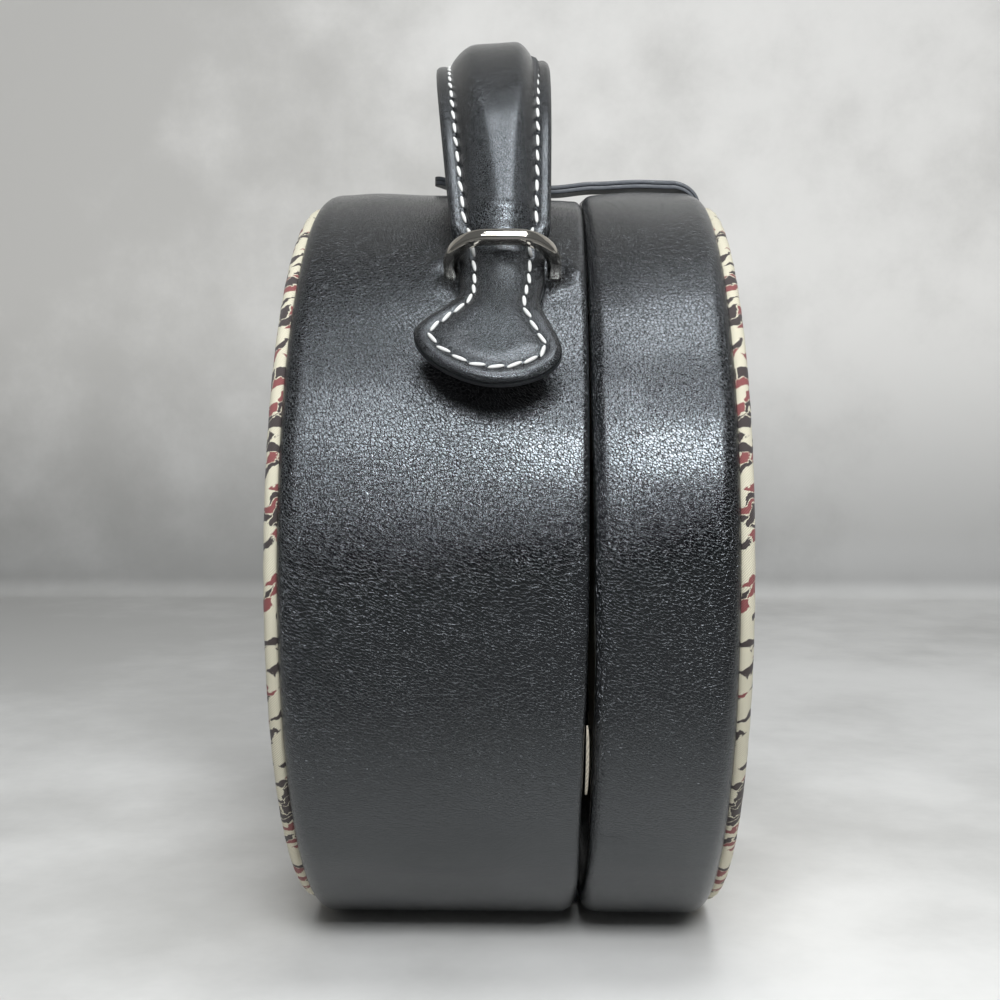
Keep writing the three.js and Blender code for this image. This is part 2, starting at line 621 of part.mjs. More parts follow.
const vanityCase = new THREE.Group();
vanityCase.name = "vanity_case";
vanityCase.add(
  piece("body_wrap", cut(drumLayer(wrapProfile(BODY_RIM_X)), wallHoles), leather),
  piece("body_frame", cut(drumLayer(bodyFrameProfile), [...wallHoles, ...pockets]), fibreboard),
  piece("body_lining", drumLayer(bodyLiningProfile), liningCloth),
  piece("back_board", drumLayer(boardProfile), fibreboard),
  piece("back_panel", drumLayer(panelProfile), printedCloth),
  piece("back_piping", drumLayer(pipingProfile), printedCloth),
  piece("back_lining", drumLayer(faceLiningProfile), liningCloth),
  piece("lid_wrap", drumLayer(mirrored(wrapProfile(-LID_RIM_X))), leather),
  piece("lid_frame", drumLayer(lidFrameProfile), fibreboard),
  piece("lid_lining", drumLayer(lidLiningProfile), liningCloth),
  piece("front_board", drumLayer(mirrored(boardProfile)), fibreboard),
  piece("front_panel", drumLayer(mirrored(panelProfile)), printedCloth),
  piece("front_piping", drumLayer(mirrored(pipingProfile)), printedCloth),
  piece("front_lining", drumLayer(mirrored(faceLiningProfile)), liningCloth),
  piece("mirror_glass", revolve(mirrorProfile).translate(0, 0, CENTRE_Z), silvering),
  piece("mirror_frame", revolve(mirrorFrameProfile).translate(0, 0, CENTRE_Z), leather),
  piece("hinge_leaf_body", hingeLeaf(SEAM_X - leafOffset), leather),
  piece("hinge_leaf_lid", hingeLeaf(SEAM_X + leafOffset), leather),
  piece("handle_cover", handlePiece(coverContour, handleStations), leather),
  piece("handle_core", handlePiece(coreContour, coreStations), filler),
  piece("handle_backing", handlePiece(backingContour, handleStations), edgePaint),
  piece("loop_near", seated(loopWire(), LOOP_ANGLE), plating),
  piece("loop_far", seated(loopWire(), -LOOP_ANGLE), plating),
  piece("loop_plate_near", seated(loopPlate(), LOOP_ANGLE), plating),
  piece("loop_plate_far", seated(loopPlate(), -LOOP_ANGLE), plating),
  piece("closure_tab", closureTab(), leather),
  piece("closure_anchor", closureAnchor(), leather),
  piece("magnet_base", turned(magnetBaseProfile), plating),
  piece("magnet_washer", turned([...washerProfile, washerProfile[0].clone()]), plating),
  piece("magnet_cap", turned(magnetCapProfile), plating),
);

export default vanityCase;
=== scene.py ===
# %% [markdown]
# # A round vanity case
# The case is a drum of black pebbled leather over fibreboard. It stands on its wall, which is pressed
# flat below. The deep body and the shallow lid meet at a seam, the two faces are padded cloth with a
# piped edge, and a padded handle runs through two wire loops. The imported frame holds every piece at its
# real place, so the lesson starts by loading it and reading the boxes of its pieces.

# %% Load the frame
import math

import bpy
import numpy as np
from mathutils import Matrix, Vector


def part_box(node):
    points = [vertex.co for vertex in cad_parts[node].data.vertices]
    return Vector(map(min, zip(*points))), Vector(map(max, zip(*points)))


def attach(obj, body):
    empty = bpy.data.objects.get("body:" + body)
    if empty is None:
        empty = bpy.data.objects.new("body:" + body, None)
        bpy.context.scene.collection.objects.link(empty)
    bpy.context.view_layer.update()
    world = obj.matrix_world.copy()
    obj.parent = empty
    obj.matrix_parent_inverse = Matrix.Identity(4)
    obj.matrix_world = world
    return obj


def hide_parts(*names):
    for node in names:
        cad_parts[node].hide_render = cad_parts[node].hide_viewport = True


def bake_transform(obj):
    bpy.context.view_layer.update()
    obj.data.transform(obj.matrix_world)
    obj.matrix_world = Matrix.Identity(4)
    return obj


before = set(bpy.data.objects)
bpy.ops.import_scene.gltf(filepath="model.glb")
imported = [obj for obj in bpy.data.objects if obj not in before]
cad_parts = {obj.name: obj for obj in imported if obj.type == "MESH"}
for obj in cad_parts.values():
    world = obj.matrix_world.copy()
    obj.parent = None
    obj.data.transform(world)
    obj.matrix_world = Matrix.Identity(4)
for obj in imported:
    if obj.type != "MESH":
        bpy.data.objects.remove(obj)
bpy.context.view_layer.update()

# %% [markdown]
# ## Measures
# The script works in millimetres and turns them into metres when a mesh is made. The drum's radius, the
# height of its axis and the depth of its flat base can all be read from the body's own box, so they
# aren't typed again.

# %% Measures from the frame
MM = 0.001


def node_box(node):
    low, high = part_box(node)
    return low / MM, high / MM


body_low, body_high = node_box("body_wrap")
lid_low, lid_high = node_box("lid_wrap")
RADIUS = body_high.y
CENTRE_Z = body_high.z - RADIUS
FLAT_DEPTH = RADIUS - CENTRE_Z
print(f"drum radius {RADIUS:.1f}, axis at {CENTRE_Z:.2f}, base pressed in by {FLAT_DEPTH:.2f} mm")

# %% [markdown]
# ## Building materials from nodes
# A material is a small network of nodes. Adding a node, setting its options and wiring its sockets is
# always the same work, so one helper does it: a socket given as a value is set, and a socket given as
# another socket is linked.

# %% Node helpers


def feed(tree, socket, value):
    if isinstance(value, bpy.types.NodeSocket):
        tree.links.new(value, socket)
    else:
        socket.default_value = value


def add_node(tree, kind, inputs=None, **options):
    node = tree.nodes.new(kind)
    for name, value in options.items():
        setattr(node, name, value)
    for socket, value in (inputs or {}).items():
        feed(tree, node.inputs[socket], value)
    return node


def calc(tree, operation, first, second=0.0):
    return add_node(tree, "ShaderNodeMath", {0: first, 1: second}, operation=operation).outputs[0]


def weighted(tree, *parts):
    total = 0.0
    for value, share in parts:
        total = calc(tree, "ADD", total, calc(tree, "MULTIPLY", value, share))
    return total


def vector_calc(tree, operation, first, second):
    key = "Scale" if operation == "SCALE" else 1
    inputs = {0: first, key: second}
    return add_node(tree, "ShaderNodeVectorMath", inputs, operation=operation).outputs[0]


def ramp(tree, value, low, high, to_low=0.0, to_high=1.0):
    inputs = {"Value": value, "From Min": low, "From Max": high, "To Min": to_low, "To Max": to_high}
    node = add_node(tree, "ShaderNodeMapRange", inputs, interpolation_type="SMOOTHSTEP")
    return node.outputs["Result"]


def mix_colour(tree, factor, first, second, blend_type="MIX"):
    inputs = {0: factor, 6: first, 7: second}
    return add_node(tree, "ShaderNodeMix", inputs, data_type="RGBA", blend_type=blend_type).outputs[2]


def noise(tree, place, scale, detail=2.0, roughness=0.5):
    inputs = {"Vector": place, "Scale": scale, "Detail": detail, "Roughness": roughness}
    return add_node(tree, "ShaderNodeTexNoise", inputs).outputs


def voronoi(tree, place, scale, feature, dimensions="3D"):
    inputs = {"Vector": place, "Scale": scale}
    options = {"feature": feature, "voronoi_dimensions": dimensions}
    return add_node(tree, "ShaderNodeTexVoronoi", inputs, **options).outputs


def slanted(tree, place, turn, stretch):
    inputs = {"Vector": place, "Rotation": turn, "Scale": stretch}
    return add_node(tree, "ShaderNodeMapping", inputs, vector_type="TEXTURE").outputs["Vector"]


def wandering(tree, place, scale, reach):
    """Push coordinates about by noise, so that what is drawn on them isn't straight."""
    push = vector_calc(tree, "SUBTRACT", noise(tree, place, scale)["Color"], (0.5, 0.5, 0.5))
    return vector_calc(tree, "ADD", place, vector_calc(tree, "SCALE", push, reach))


def add_bump(tree, shader, height, depth, strength=1.0):
    inputs = {"Height": height, "Strength": strength, "Distance": depth * MM}
    feed(tree, shader["Normal"], add_node(tree, "ShaderNodeBump", inputs).outputs["Normal"])


def new_group(name, inputs, outputs):
    group = bpy.data.node_groups.new(name, "ShaderNodeTree")
    for in_out, sockets in (("INPUT", inputs), ("OUTPUT", outputs)):
        for label, kind in sockets:
            group.interface.new_socket(label, in_out=in_out, socket_type="NodeSocket" + kind)
    entry = group.nodes.new("NodeGroupInput")
    leave = group.nodes.new("NodeGroupOutput")
    return group, entry.outputs, leave.inputs


def use_group(tree, group, inputs):
    return add_node(tree, "ShaderNodeGroup", inputs, node_tree=group).outputs


def new_material(name):
    material = bpy.data.materials.new(name)
    material.use_nodes = True
    tree = material.node_tree
    return material, tree, tree.nodes["Principled BSDF"].inputs


def object_coords(tree):
    return add_node(tree, "ShaderNodeTexCoord").outputs["Object"]


print("node helpers ready")

# %% [markdown]
# ## Pebble grain
# Pressed leather is a field of small plump cells with fine creases between them, and smaller creases
# inside the cells. Voronoi cells have that layout. The coordinates are first pushed about by noise, so
# that no crease is straight. The group counts in cells, and its Cell input is the size of one cell in
# millimetres.

# %% Pebble grain group
CREASE_REACH = 0.13
FINE_SCALE = 2.3
FINE_REACH = 0.2


def make_grain_group():
    group, entry, leave = new_group(
        "pebble_grain",
        [("Vector", "Vector"), ("Cell", "Float")],
        [("Height", "Float"), ("Crease", "Float")],
    )
    per_metre = calc(group, "DIVIDE", 1 / MM, entry["Cell"])
    cells = wandering(group, vector_calc(group, "SCALE", entry["Vector"], per_metre), scale=0.7, reach=0.9)
    to_edge = voronoi(group, cells, 1.0, "DISTANCE_TO_EDGE")["Distance"]
    to_fine_edge = voronoi(group, cells, FINE_SCALE, "DISTANCE_TO_EDGE")["Distance"]
    to_middle = voronoi(group, cells, 1.0, "F1")["Distance"]
    crease = ramp(group, to_edge, 0.0, CREASE_REACH)
    fine = ramp(group, to_fine_edge, 0.0, FINE_REACH)
    dome = calc(group, "SUBTRACT", 1.0, calc(group, "POWER", to_middle, 2.0))
    feed(group, leave["Height"], weighted(group, (crease, 0.66), (fine, 0.1), (dome, 0.24)))
    feed(group, leave["Crease"], crease)
    return group


GRAIN = make_grain_group()
print("group", GRAIN.name)

# %% [markdown]
# ## Leather
# All the leather is black and half glossy. The wall has the coarse pebble, the handle's leather is finer
# and worn smoother, and the strap's leather is nearly plain. One function makes them, with the size of
# the cells, the depth of the grain and the gloss as its arguments. The wall's grain is drawn out along a
# slant, as the leather was pulled when it was glued down. Large soft noise keeps the gloss from being
# even.

# %% Leather finishes
PULL_TURN = (0.0, math.radians(42), 0.0)
PULL_STRETCH = (1.8, 1.0, 0.85)
BLACK_DYE = (0.004, 0.0041, 0.0047, 1)
# The crease colours are painted shade: the creases are coloured darker than the cells.
CREASE_SHADE_COLOUR = (0.002, 0.002, 0.0023, 1)
STRAP_DYE = (0.012, 0.0125, 0.014, 1)
STRAP_CREASE_SHADE_COLOUR = (0.008, 0.008, 0.009, 1)
SHINE_TINT = (0.9, 0.955, 1.0, 1)
CREASE_DULLING = 0.1
RUBBED = 1.7


def make_leather(name, dye, crease_shade, cell, depth, rough, pulled=False):
    material, tree, shader = new_material(name)
    place = object_coords(tree)
    laid = slanted(tree, place, PULL_TURN, PULL_STRETCH) if pulled else place
    grain = use_group(tree, GRAIN, {"Vector": laid, "Cell": cell})
    cloud = noise(tree, place, 45.0, 4.0)["Fac"]
    # Painted shade: the colour darkens in the grain's creases.
    crease_shaded = mix_colour(tree, grain["Crease"], crease_shade, dye)
    rubbed = tuple(min(1.0, RUBBED * c) for c in dye[:3]) + (1.0,)
    wear = ramp(tree, cloud, 0.45, 0.75, 0.0, 0.5)
    feed(tree, shader["Base Color"], mix_colour(tree, wear, crease_shaded, rubbed))
    polish = ramp(tree, cloud, 0.3, 0.7, rough - 0.03, rough + 0.05)
    dulling = ramp(tree, grain["Crease"], 0.0, 1.0, CREASE_DULLING, 0.0)
    feed(tree, shader["Roughness"], calc(tree, "ADD", polish, dulling))
    add_bump(tree, shader, grain["Height"], depth)
    shader["Specular IOR Level"].default_value = 1.0
    shader["Specular Tint"].default_value = SHINE_TINT
    return material


wall_leather = make_leather("wall_leather", BLACK_DYE, CREASE_SHADE_COLOUR, 0.7, 0.11, 0.1, pulled=True)
handle_leather = make_leather("handle_leather", BLACK_DYE, CREASE_SHADE_COLOUR, 0.62, 0.08, 0.14)
strap_leather = make_leather("strap_leather", STRAP_DYE, STRAP_CREASE_SHADE_COLOUR, 0.8, 0.03, 0.4)
print("leathers", wall_leather.name, handle_leather.name, strap_leather.name)

# %% [markdown]
# Cut leather edges are painted. The paint is grey-black, thick and a little uneven, so it gets a matte
# surface with soft bumps along it.

# %% Edge paint
PAINT_DARK = (0.045, 0.05, 0.058, 1)
PAINT_LIGHT = (0.11, 0.118, 0.132, 1)


def make_edge_paint():
    material, tree, shader = new_material("edge_paint")
    ripple = noise(tree, object_coords(tree), 700.0, 3.0)["Fac"]
    feed(tree, shader["Base Color"], mix_colour(tree, ripple, PAINT_DARK, PAINT_LIGHT))
    feed(tree, shader["Roughness"], ramp(tree, ripple, 0.3, 0.7, 0.4, 0.6))
    add_bump(tree, shader, ripple, depth=0.1, strength=0.6)
    return material


edge_paint = make_edge_paint()
print("finish", edge_paint.name)

# %% [markdown]
# ## Woven cloth
# The piping, the faces and the lining are twill: fine slanted ribs made by threads that cross. The group
# takes coordinates in millimetres and gives the height of the threads and a painted shade, which darkens
# the gaps between them.

# %% Twill group
THREADS_PER_RIB = 1.6


def make_twill_group():
    group, entry, leave = new_group(
        "twill",
        [("Millimetres", "Vector"), ("Pitch", "Float")],
        [("Height", "Float"), ("Shade", "Float")],
    )
    axes = add_node(group, "ShaderNodeSeparateXYZ", {0: entry["Millimetres"]}).outputs
    turns = calc(group, "DIVIDE", math.tau, entry["Pitch"])
    along = calc(group, "ADD", axes["X"], axes["Y"])
    across = calc(group, "SUBTRACT", axes["Y"], calc(group, "MULTIPLY", axes["X"], 0.4))
    rib = calc(group, "SINE", calc(group, "MULTIPLY", along, turns))
    finer = calc(group, "MULTIPLY", turns, THREADS_PER_RIB)
    thread = calc(group, "SINE", calc(group, "MULTIPLY", across, finer))
    raised = calc(group, "ADD", weighted(group, (rib, 0.36), (thread, 0.14)), 0.5)
    feed(group, leave["Height"], raised)
    feed(group, leave["Shade"], ramp(group, raised, 0.0, 0.7, 0.6, 1.0))
    return group


TWILL = make_twill_group()
print("group", TWILL.name)

# %% [markdown]
# ## Printed cloth
# The cloth is cream with loose slanted dashes in black and wine red. Stretched Voronoi cells give the
# dashes: each cell draws a random number, which decides whether it is printed and in which ink, and the
# distance to the cell's edge leaves a cream margin round it. The same print serves the piping and the
# faces, at the same scale.

# %% Dash print group
CREAM = (0.72, 0.67, 0.515, 1)
BLACK_INK = (0.058, 0.044, 0.042, 1)
WINE_INK = (0.27, 0.078, 0.075, 1)
DASH_SLANT = (0.0, 0.0, math.radians(30))
DASH_SIZE = (2.2, 6.5, 1.0)
PRINTED_SHARE = 0.46
WINE_SHARE = 0.4
FRAY = 0.04


def make_dash_group():
    group, entry, leave = new_group("dash_print", [("Millimetres", "Vector")], [("Color", "Color")])
    place = entry["Millimetres"]
    laid = slanted(group, wandering(group, place, scale=0.22, reach=6.0), DASH_SLANT, DASH_SIZE)
    lot = voronoi(group, laid, 1.0, "F1", "2D")["Color"]
    draw = add_node(group, "ShaderNodeSeparateColor", {0: lot}).outputs
    edge = voronoi(group, laid, 1.0, "DISTANCE_TO_EDGE", "2D")["Distance"]
    fray = ramp(group, noise(group, place, 2.2)["Fac"], 0.3, 0.7, -FRAY, FRAY)
    inside = ramp(group, calc(group, "ADD", edge, fray), 0.03, 0.06)
    printed = calc(group, "LESS_THAN", draw["Red"], PRINTED_SHARE)
    ink = mix_colour(group, calc(group, "LESS_THAN", draw["Green"], WINE_SHARE), BLACK_INK, WINE_INK)
    feed(group, leave["Color"], mix_colour(group, calc(group, "MULTIPLY", printed, inside), CREAM, ink))
    return group


DASHES = make_dash_group()
print("group", DASHES.name)

# %% [markdown]
# The cloth on the piping follows the cord, so it reads the ring's own UV map, stretched to millimetres.
# The cloth on the faces lies flat, so it reads the object's Y and Z. Both then go through the same print
# and weave.

# %% Cloth finishes
PIPING_RING = 108.8
PIPING_RADIUS = 2.2
LINING_DARK = (0.52, 0.46, 0.36, 1)
LINING_LIGHT = (0.62, 0.56, 0.45, 1)


def cord_millimetres(tree):
    uv = add_node(tree, "ShaderNodeUVMap").outputs["UV"]
    size = (math.tau * PIPING_RING, math.tau * PIPING_RADIUS, 1.0)
    return add_node(tree, "ShaderNodeMapping", {"Vector": uv, "Scale": size}).outputs["Vector"]


def face_millimetres(tree):
    axes = add_node(tree, "ShaderNodeSeparateXYZ", {0: object_coords(tree)}).outputs
    flat = add_node(tree, "ShaderNodeCombineXYZ", {"X": axes["Y"], "Y": axes["Z"]}).outputs[0]
    return vector_calc(tree, "SCALE", flat, 1 / MM)


def finish_cloth(tree, shader, colour, millimetres, pitch, depth):
    weave = use_group(tree, TWILL, {"Millimetres": millimetres, "Pitch": pitch})
    # The weave's shade is multiplied into the cloth's colour: painted shade in the gaps between threads.
    shade = add_node(tree, "ShaderNodeCombineColor", {channel: weave["Shade"] for channel in range(3)})
    feed(tree, shader["Base Color"], mix_colour(tree, 1.0, colour, shade.outputs[0], "MULTIPLY"))
    feed(tree, shader["Roughness"], ramp(tree, weave["Height"], 0.0, 1.0, 0.9, 0.72))
    add_bump(tree, shader, weave["Height"], depth, strength=0.8)
    shader["Sheen Weight"].default_value = 0.15


def make_printed_cloth(name, millimetres):
    material, tree, shader = new_material(name)
    place = millimetres(tree)
    colour = use_group(tree, DASHES, {"Millimetres": place})["Color"]
    finish_cloth(tree, shader, colour, place, pitch=0.68, depth=0.12)
    return material


def make_lining_cloth():
    material, tree, shader = new_material("lining_cloth")
    place = vector_calc(tree, "SCALE", object_coords(tree), 1 / MM)
    colour = mix_colour(tree, noise(tree, place, 0.03, 3.0)["Fac"], LINING_DARK, LINING_LIGHT)
    finish_cloth(tree, shader, colour, place, pitch=0.8, depth=0.1)
    return material


piping_cloth = make_printed_cloth("piping_cloth", cord_millimetres)
face_cloth = make_printed_cloth("face_cloth", face_millimetres)
lining_cloth = make_lining_cloth()
print("cloths", piping_cloth.name, face_cloth.name, lining_cloth.name)

# %% [markdown]
# ## Metal, mirror, thread and board
# The loops and the snap are nickel plated, so they are mirror-like with a faint uneven polish. The thread
# is white and matte. The fibreboard inside the walls is never seen in use, but it has its own grey-brown
# fibres all the same.

# %% Other finishes
HAZED = 0.86


def make_metal(name, colour, low, high):
    material, tree, shader = new_material(name)
    haze = noise(tree, object_coords(tree), 260.0, 4.0)["Fac"]
    hazed = tuple(HAZED * c for c in colour[:3]) + (1,)
    feed(tree, shader["Roughness"], ramp(tree, haze, 0.35, 0.7, low, high))
    feed(tree, shader["Base Color"], mix_colour(tree, haze, colour, hazed))
    shader["Metallic"].default_value = 1.0
    return material


def make_fibres(name, dark, light, scale, rough):
    material, tree, shader = new_material(name)
    fibre = noise(tree, object_coords(tree), scale, 6.0)["Fac"]
    feed(tree, shader["Base Color"], mix_colour(tree, fibre, dark, light))
    feed(tree, shader["Roughness"], ramp(tree, fibre, 0.3, 0.7, rough, rough + 0.12))
    add_bump(tree, shader, fibre, depth=0.1, strength=0.4)
    return material


nickel = make_metal("nickel_plating", (0.68, 0.645, 0.58, 1), low=0.05, high=0.12)
plate_steel = make_metal("plate_steel", (0.5, 0.5, 0.49, 1), low=0.3, high=0.45)
mirror_silver = make_metal("mirror_silver", (0.86, 0.89, 0.9, 1), low=0.01, high=0.03)
thread_white = make_fibres("thread_white", (0.62, 0.61, 0.58, 1), (0.82, 0.81, 0.78, 1), 2500.0, 0.6)
fibreboard = make_fibres("fibreboard", (0.16, 0.11, 0.07, 1), (0.28, 0.21, 0.14, 1), 220.0, 0.85)
felt_filler = make_fibres("felt_filler", (0.04, 0.04, 0.04, 1), (0.09, 0.09, 0.09, 1), 500.0, 0.88)
print("finishes", nickel.name, mirror_silver.name, thread_white.name, fibreboard.name)

# %% [markdown]
# ## Spinning round pieces
# Nearly every piece of the drum is an outline carried round its axis. By hand one draws the outline by
# extruding a single vertex from point to point, then spins it. The helper does the same: it collapses a
# plane to one vertex, extrudes it along the outline, spins the line and merges where the ends meet. An
# outline point is (radius, x).

# %% Spin helper
SMOOTH_ANGLE = math.radians(40)
MERGE_DISTANCE = 0.005


def only_select(piece):
    bpy.ops.object.select_all(action="DESELECT")
    piece.select_set(True)
    bpy.context.view_layer.objects.active = piece


def name_new(name):
    piece = bpy.context.object
    piece.name = name
    piece.data.name = name
    return piece


def draw_line(name, points):
    """A line of vertices through points, still in edit mode."""
    bpy.ops.object.select_all(action="DESELECT")
    bpy.ops.mesh.primitive_plane_add(size=MM)
    piece = name_new(name)
    bpy.ops.object.mode_set(mode="EDIT")
    bpy.ops.mesh.merge(type="CENTER")
    bpy.ops.transform.translate(value=Vector(points[0]) * MM)
    for place, after in zip(points, points[1:]):
        step = Vector([b - a for a, b in zip(place, after)]) * MM
        bpy.ops.mesh.extrude_vertices_move(TRANSFORM_OT_translate={"value": step})
    bpy.ops.mesh.select_all(action="SELECT")
    return piece


def close_up():
    bpy.ops.mesh.select_all(action="SELECT")
    bpy.ops.mesh.remove_doubles(threshold=MERGE_DISTANCE * MM)
    bpy.ops.mesh.normals_make_consistent(inside=False)
    bpy.ops.object.mode_set(mode="OBJECT")
    bpy.ops.object.shade_smooth_by_angle(angle=SMOOTH_ANGLE)


def spin_outline(name, outline, steps=240):
    piece = draw_line(name, [(x, 0, CENTRE_Z + radius) for radius, x in outline])
    bpy.ops.mesh.spin(steps=steps, angle=math.tau, center=(0, 0, CENTRE_Z * MM), axis=(1, 0, 0))
    close_up()
    return piece


def dress(piece, material, slot, body, *nodes):
    piece.data.materials.clear()
    piece.data.materials.append(material)
    if body:
        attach(piece, body)
    if nodes:
        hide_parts(*nodes)
    print(piece.name, "has", len(piece.data.polygons), "faces and rides on", body or "two bodies")


print("spin helper ready")

# %% [markdown]
# ## Pressing the base flat
# The case stands on its wall, so each layer of the drum has a flat below. A rule moves the points of a
# mesh: where a point hangs lower than its layer's flat, it is lifted onto it. The change from round to
# flat is a soft one, because leather over board has no sharp corner there.

# %% Press rule
BASE_SOFTNESS = 0.8


def reshape(piece, *rules):
    places = np.empty(len(piece.data.vertices) * 3)
    piece.data.vertices.foreach_get("co", places)
    places = places.reshape(-1, 3) / MM
    for rule in rules:
        places = rule(places)
    piece.data.vertices.foreach_set("co", (places * MM).ravel())
    piece.data.update()


def about_axis(places):
    """Depth and height from the drum's axis, the distance, and the angle from the top to the near side."""
    y = places[:, 1]
    z = places[:, 2] - CENTRE_Z
    return y, z, np.hypot(y, z), np.arctan2(-y, z)


def moved_out(places, change, where=1.0):
    """Points moved away from the drum's axis; where says for which of them the height changes too."""
    y, z, radius, _ = about_axis(places)
    moved = places.copy()
    moved[:, 1] += change * y / np.maximum(radius, 1)
    moved[:, 2] += change * z / np.maximum(radius, 1) * where
    return moved


def press_base(places):
    _, z, radius, _ = about_axis(places)
    below = FLAT_DEPTH - radius - z
    lift = 0.5 * (below + np.sqrt(below**2 + BASE_SOFTNESS**2))
    pressed = places.copy()
    pressed[:, 2] += np.where(z < -0.5 * RADIUS, lift, 0.0)
    return pressed


def smooth_step(low, high, value):
    t = np.clip((value - low) / (high - low), 0, 1)
    return t * t * (3 - 2 * t)


def eased(value, knots):
    places = np.array([place for place, _ in knots], float)
    levels = np.array([level for _, level in knots], float)
    after = np.clip(np.searchsorted(places, value), 1, len(places) - 1)
    blend = smooth_step(places[after - 1], places[after], value)
    return levels[after - 1] + (levels[after] - levels[after - 1]) * blend


print("base flat is", round(2 * math.sqrt(RADIUS**2 - CENTRE_Z**2), 1), "mm wide")

# %% [markdown]
# ## Leather walls
# One leather skin rolls over the face's edge, runs along the wall, rounds off beside the seam and turns
# in as a hem. The outline says all of that. The lid's is the same outline the other way round. The body's
# rim is crisp, the lid's is softer, and both are round enough beside the hinge to roll past each other.
# The rims of a soft case don't stay parallel: the seam is nearly shut above and gapes towards the base,
# so a rule leans each rim by its height.

# %% Wall outlines
FACE_EDGE_RADIUS = 111.0
FACE_ROLL = 5.0
FACE_INSET = 1.2
BODY_RIM_ROUND = 2.0
LID_RIM_ROUND = 3.6
HINGE_RIM_ROUND = 5.0
LEATHER_INNER = 111.6
HEM_INNER = 107.2
HEM_OUTER = 108.1
HEM_LENGTH = 7.2
HEM_ROUND = 1.2
HEM_CORNER = 0.35
RIM_WALL = 1.4
WALL_STEP = 2.0
LEAN_FADES = 22
LEAN_FULL = 6


def quarter(steps):
    return [math.radians(90 * i / steps) for i in range(steps + 1)]


def wall_outline(face_x, rim_x, rim_round):
    side = 1 if rim_x > face_x else -1
    rise = RADIUS - FACE_EDGE_RADIUS
    straight = abs(rim_x - face_x) - FACE_ROLL - rim_round
    count = round(straight / WALL_STEP)
    outline = []
    for a in quarter(9):
        outline.append((FACE_EDGE_RADIUS + rise * math.sin(a), face_x + side * FACE_ROLL * (1 - math.cos(a))))
    for i in range(1, count):
        outline.append((RADIUS, face_x + side * (FACE_ROLL + straight * i / count)))
    for a in quarter(9):
        outline.append((RADIUS - rim_round * (1 - math.cos(a)), rim_x - side * rim_round * (1 - math.sin(a))))
    outline += [
        (HEM_INNER + HEM_ROUND, rim_x),
        (HEM_INNER + HEM_CORNER, rim_x - side * HEM_CORNER),
        (HEM_INNER, rim_x - side * HEM_ROUND),
        (HEM_INNER, rim_x - side * HEM_LENGTH),
        (HEM_OUTER, rim_x - side * HEM_LENGTH),
        (HEM_OUTER, rim_x - side * RIM_WALL),
        (LEATHER_INNER, rim_x - side * RIM_WALL),
        (LEATHER_INNER, face_x + side * FACE_INSET),
    ]
    return outline + outline[:1]


BODY_RIM_LEAN = [(-100, 0.0), (-67, -0.2), (-38, 0.2), (-20, 0.7), (0, 1.0), (60, 1.4), (112, 1.5)]
LID_RIM_LEAN = [(-100, 0.0), (-67, 0.8), (-38, 1.1), (-20, 1.2), (0, 0.9), (60, 0.3), (112, 0.15)]


def lean_rim(rim_x, leans):
    def rule(places):
        near = smooth_step(LEAN_FADES, LEAN_FULL, np.abs(places[:, 0] - rim_x))
        leaned = places.copy()
        leaned[:, 0] += near * eased(places[:, 2] - CENTRE_Z, leans)
        return leaned

    return rule


def round_at_hinge(rim_x):
    """Near the base the rim gets the larger rounding that lets the lid swing."""

    def rule(places):
        _, z, radius, _ = about_axis(places)
        into = np.clip(HINGE_RIM_ROUND - np.abs(places[:, 0] - rim_x), 0, HINGE_RIM_ROUND)
        most = RADIUS - HINGE_RIM_ROUND + np.sqrt(HINGE_RIM_ROUND**2 - into**2)
        excess = np.maximum(radius - most, 0) * smooth_step(-0.72 * RADIUS, -0.9 * RADIUS, z)
        return moved_out(places, -excess)

    return rule


body_outline = wall_outline(body_low.x, body_high.x, BODY_RIM_ROUND)
lid_outline = wall_outline(lid_high.x, lid_low.x, LID_RIM_ROUND)
print("body outline has", len(body_outline), "points")

# %% [markdown]
# The loops' feet pull the leather into the wall, so there is a dimple at each foot with a soft swelling
# round it. The rule works on the unrolled wall: along the drum's axis, and round the drum as an arc
# length.

# %% Dimples at the loops
HANDLE_X = -2.05
LOOP_ANGLE = math.radians(43.4)
LOOP_INNER_WIDTH = 23.9
LOOP_WIRE = 3.9
LEG_OFFSET = (LOOP_INNER_WIDTH + LOOP_WIRE) / 2
DIMPLE_DEPTH = 1.1
DIMPLE_REACH = 3.0
SWELL_HEIGHT = 0.45
SWELL_OFFSET = 6.5
SWELL_REACH = 2.6
FOLD_HEIGHT = 0.9
FOLD_OFFSET = 5.0
FOLD_REACH = 3.2
FOLD_SHORT = 1.6


def bell(away, reach):
    return np.exp(-((away / reach) ** 2))


def dimple_wall(places):
    _, _, radius, angle = about_axis(places)
    change = np.zeros(len(places))
    for loop_angle in (LOOP_ANGLE, -LOOP_ANGLE):
        round_drum = RADIUS * (angle - loop_angle)
        for leg_x in (HANDLE_X - LEG_OFFSET, HANDLE_X + LEG_OFFSET):
            away = np.hypot(places[:, 0] - leg_x, round_drum)
            beside = np.hypot(places[:, 0] - leg_x - FOLD_OFFSET, FOLD_SHORT * round_drum)
            change += SWELL_HEIGHT * bell(away - SWELL_OFFSET, SWELL_REACH)
            change -= DIMPLE_DEPTH * bell(away, DIMPLE_REACH)
            change += FOLD_HEIGHT * bell(beside, FOLD_REACH)
    return moved_out(places, change * (radius > 0.5 * (LEATHER_INNER + RADIUS)))


print("loop feet at", HANDLE_X - LEG_OFFSET, "and", HANDLE_X + LEG_OFFSET)

# %% [markdown]
# The leather isn't pulled evenly tight. Near the top it is slack, so it swells on the lid and sinks
# towards the body's rim. The lid's edge sinks a little all along the seam, and both walls have faint
# ripples. Each of these is a rule of its own, and the walls are spun and then take the rules one after
# the other.

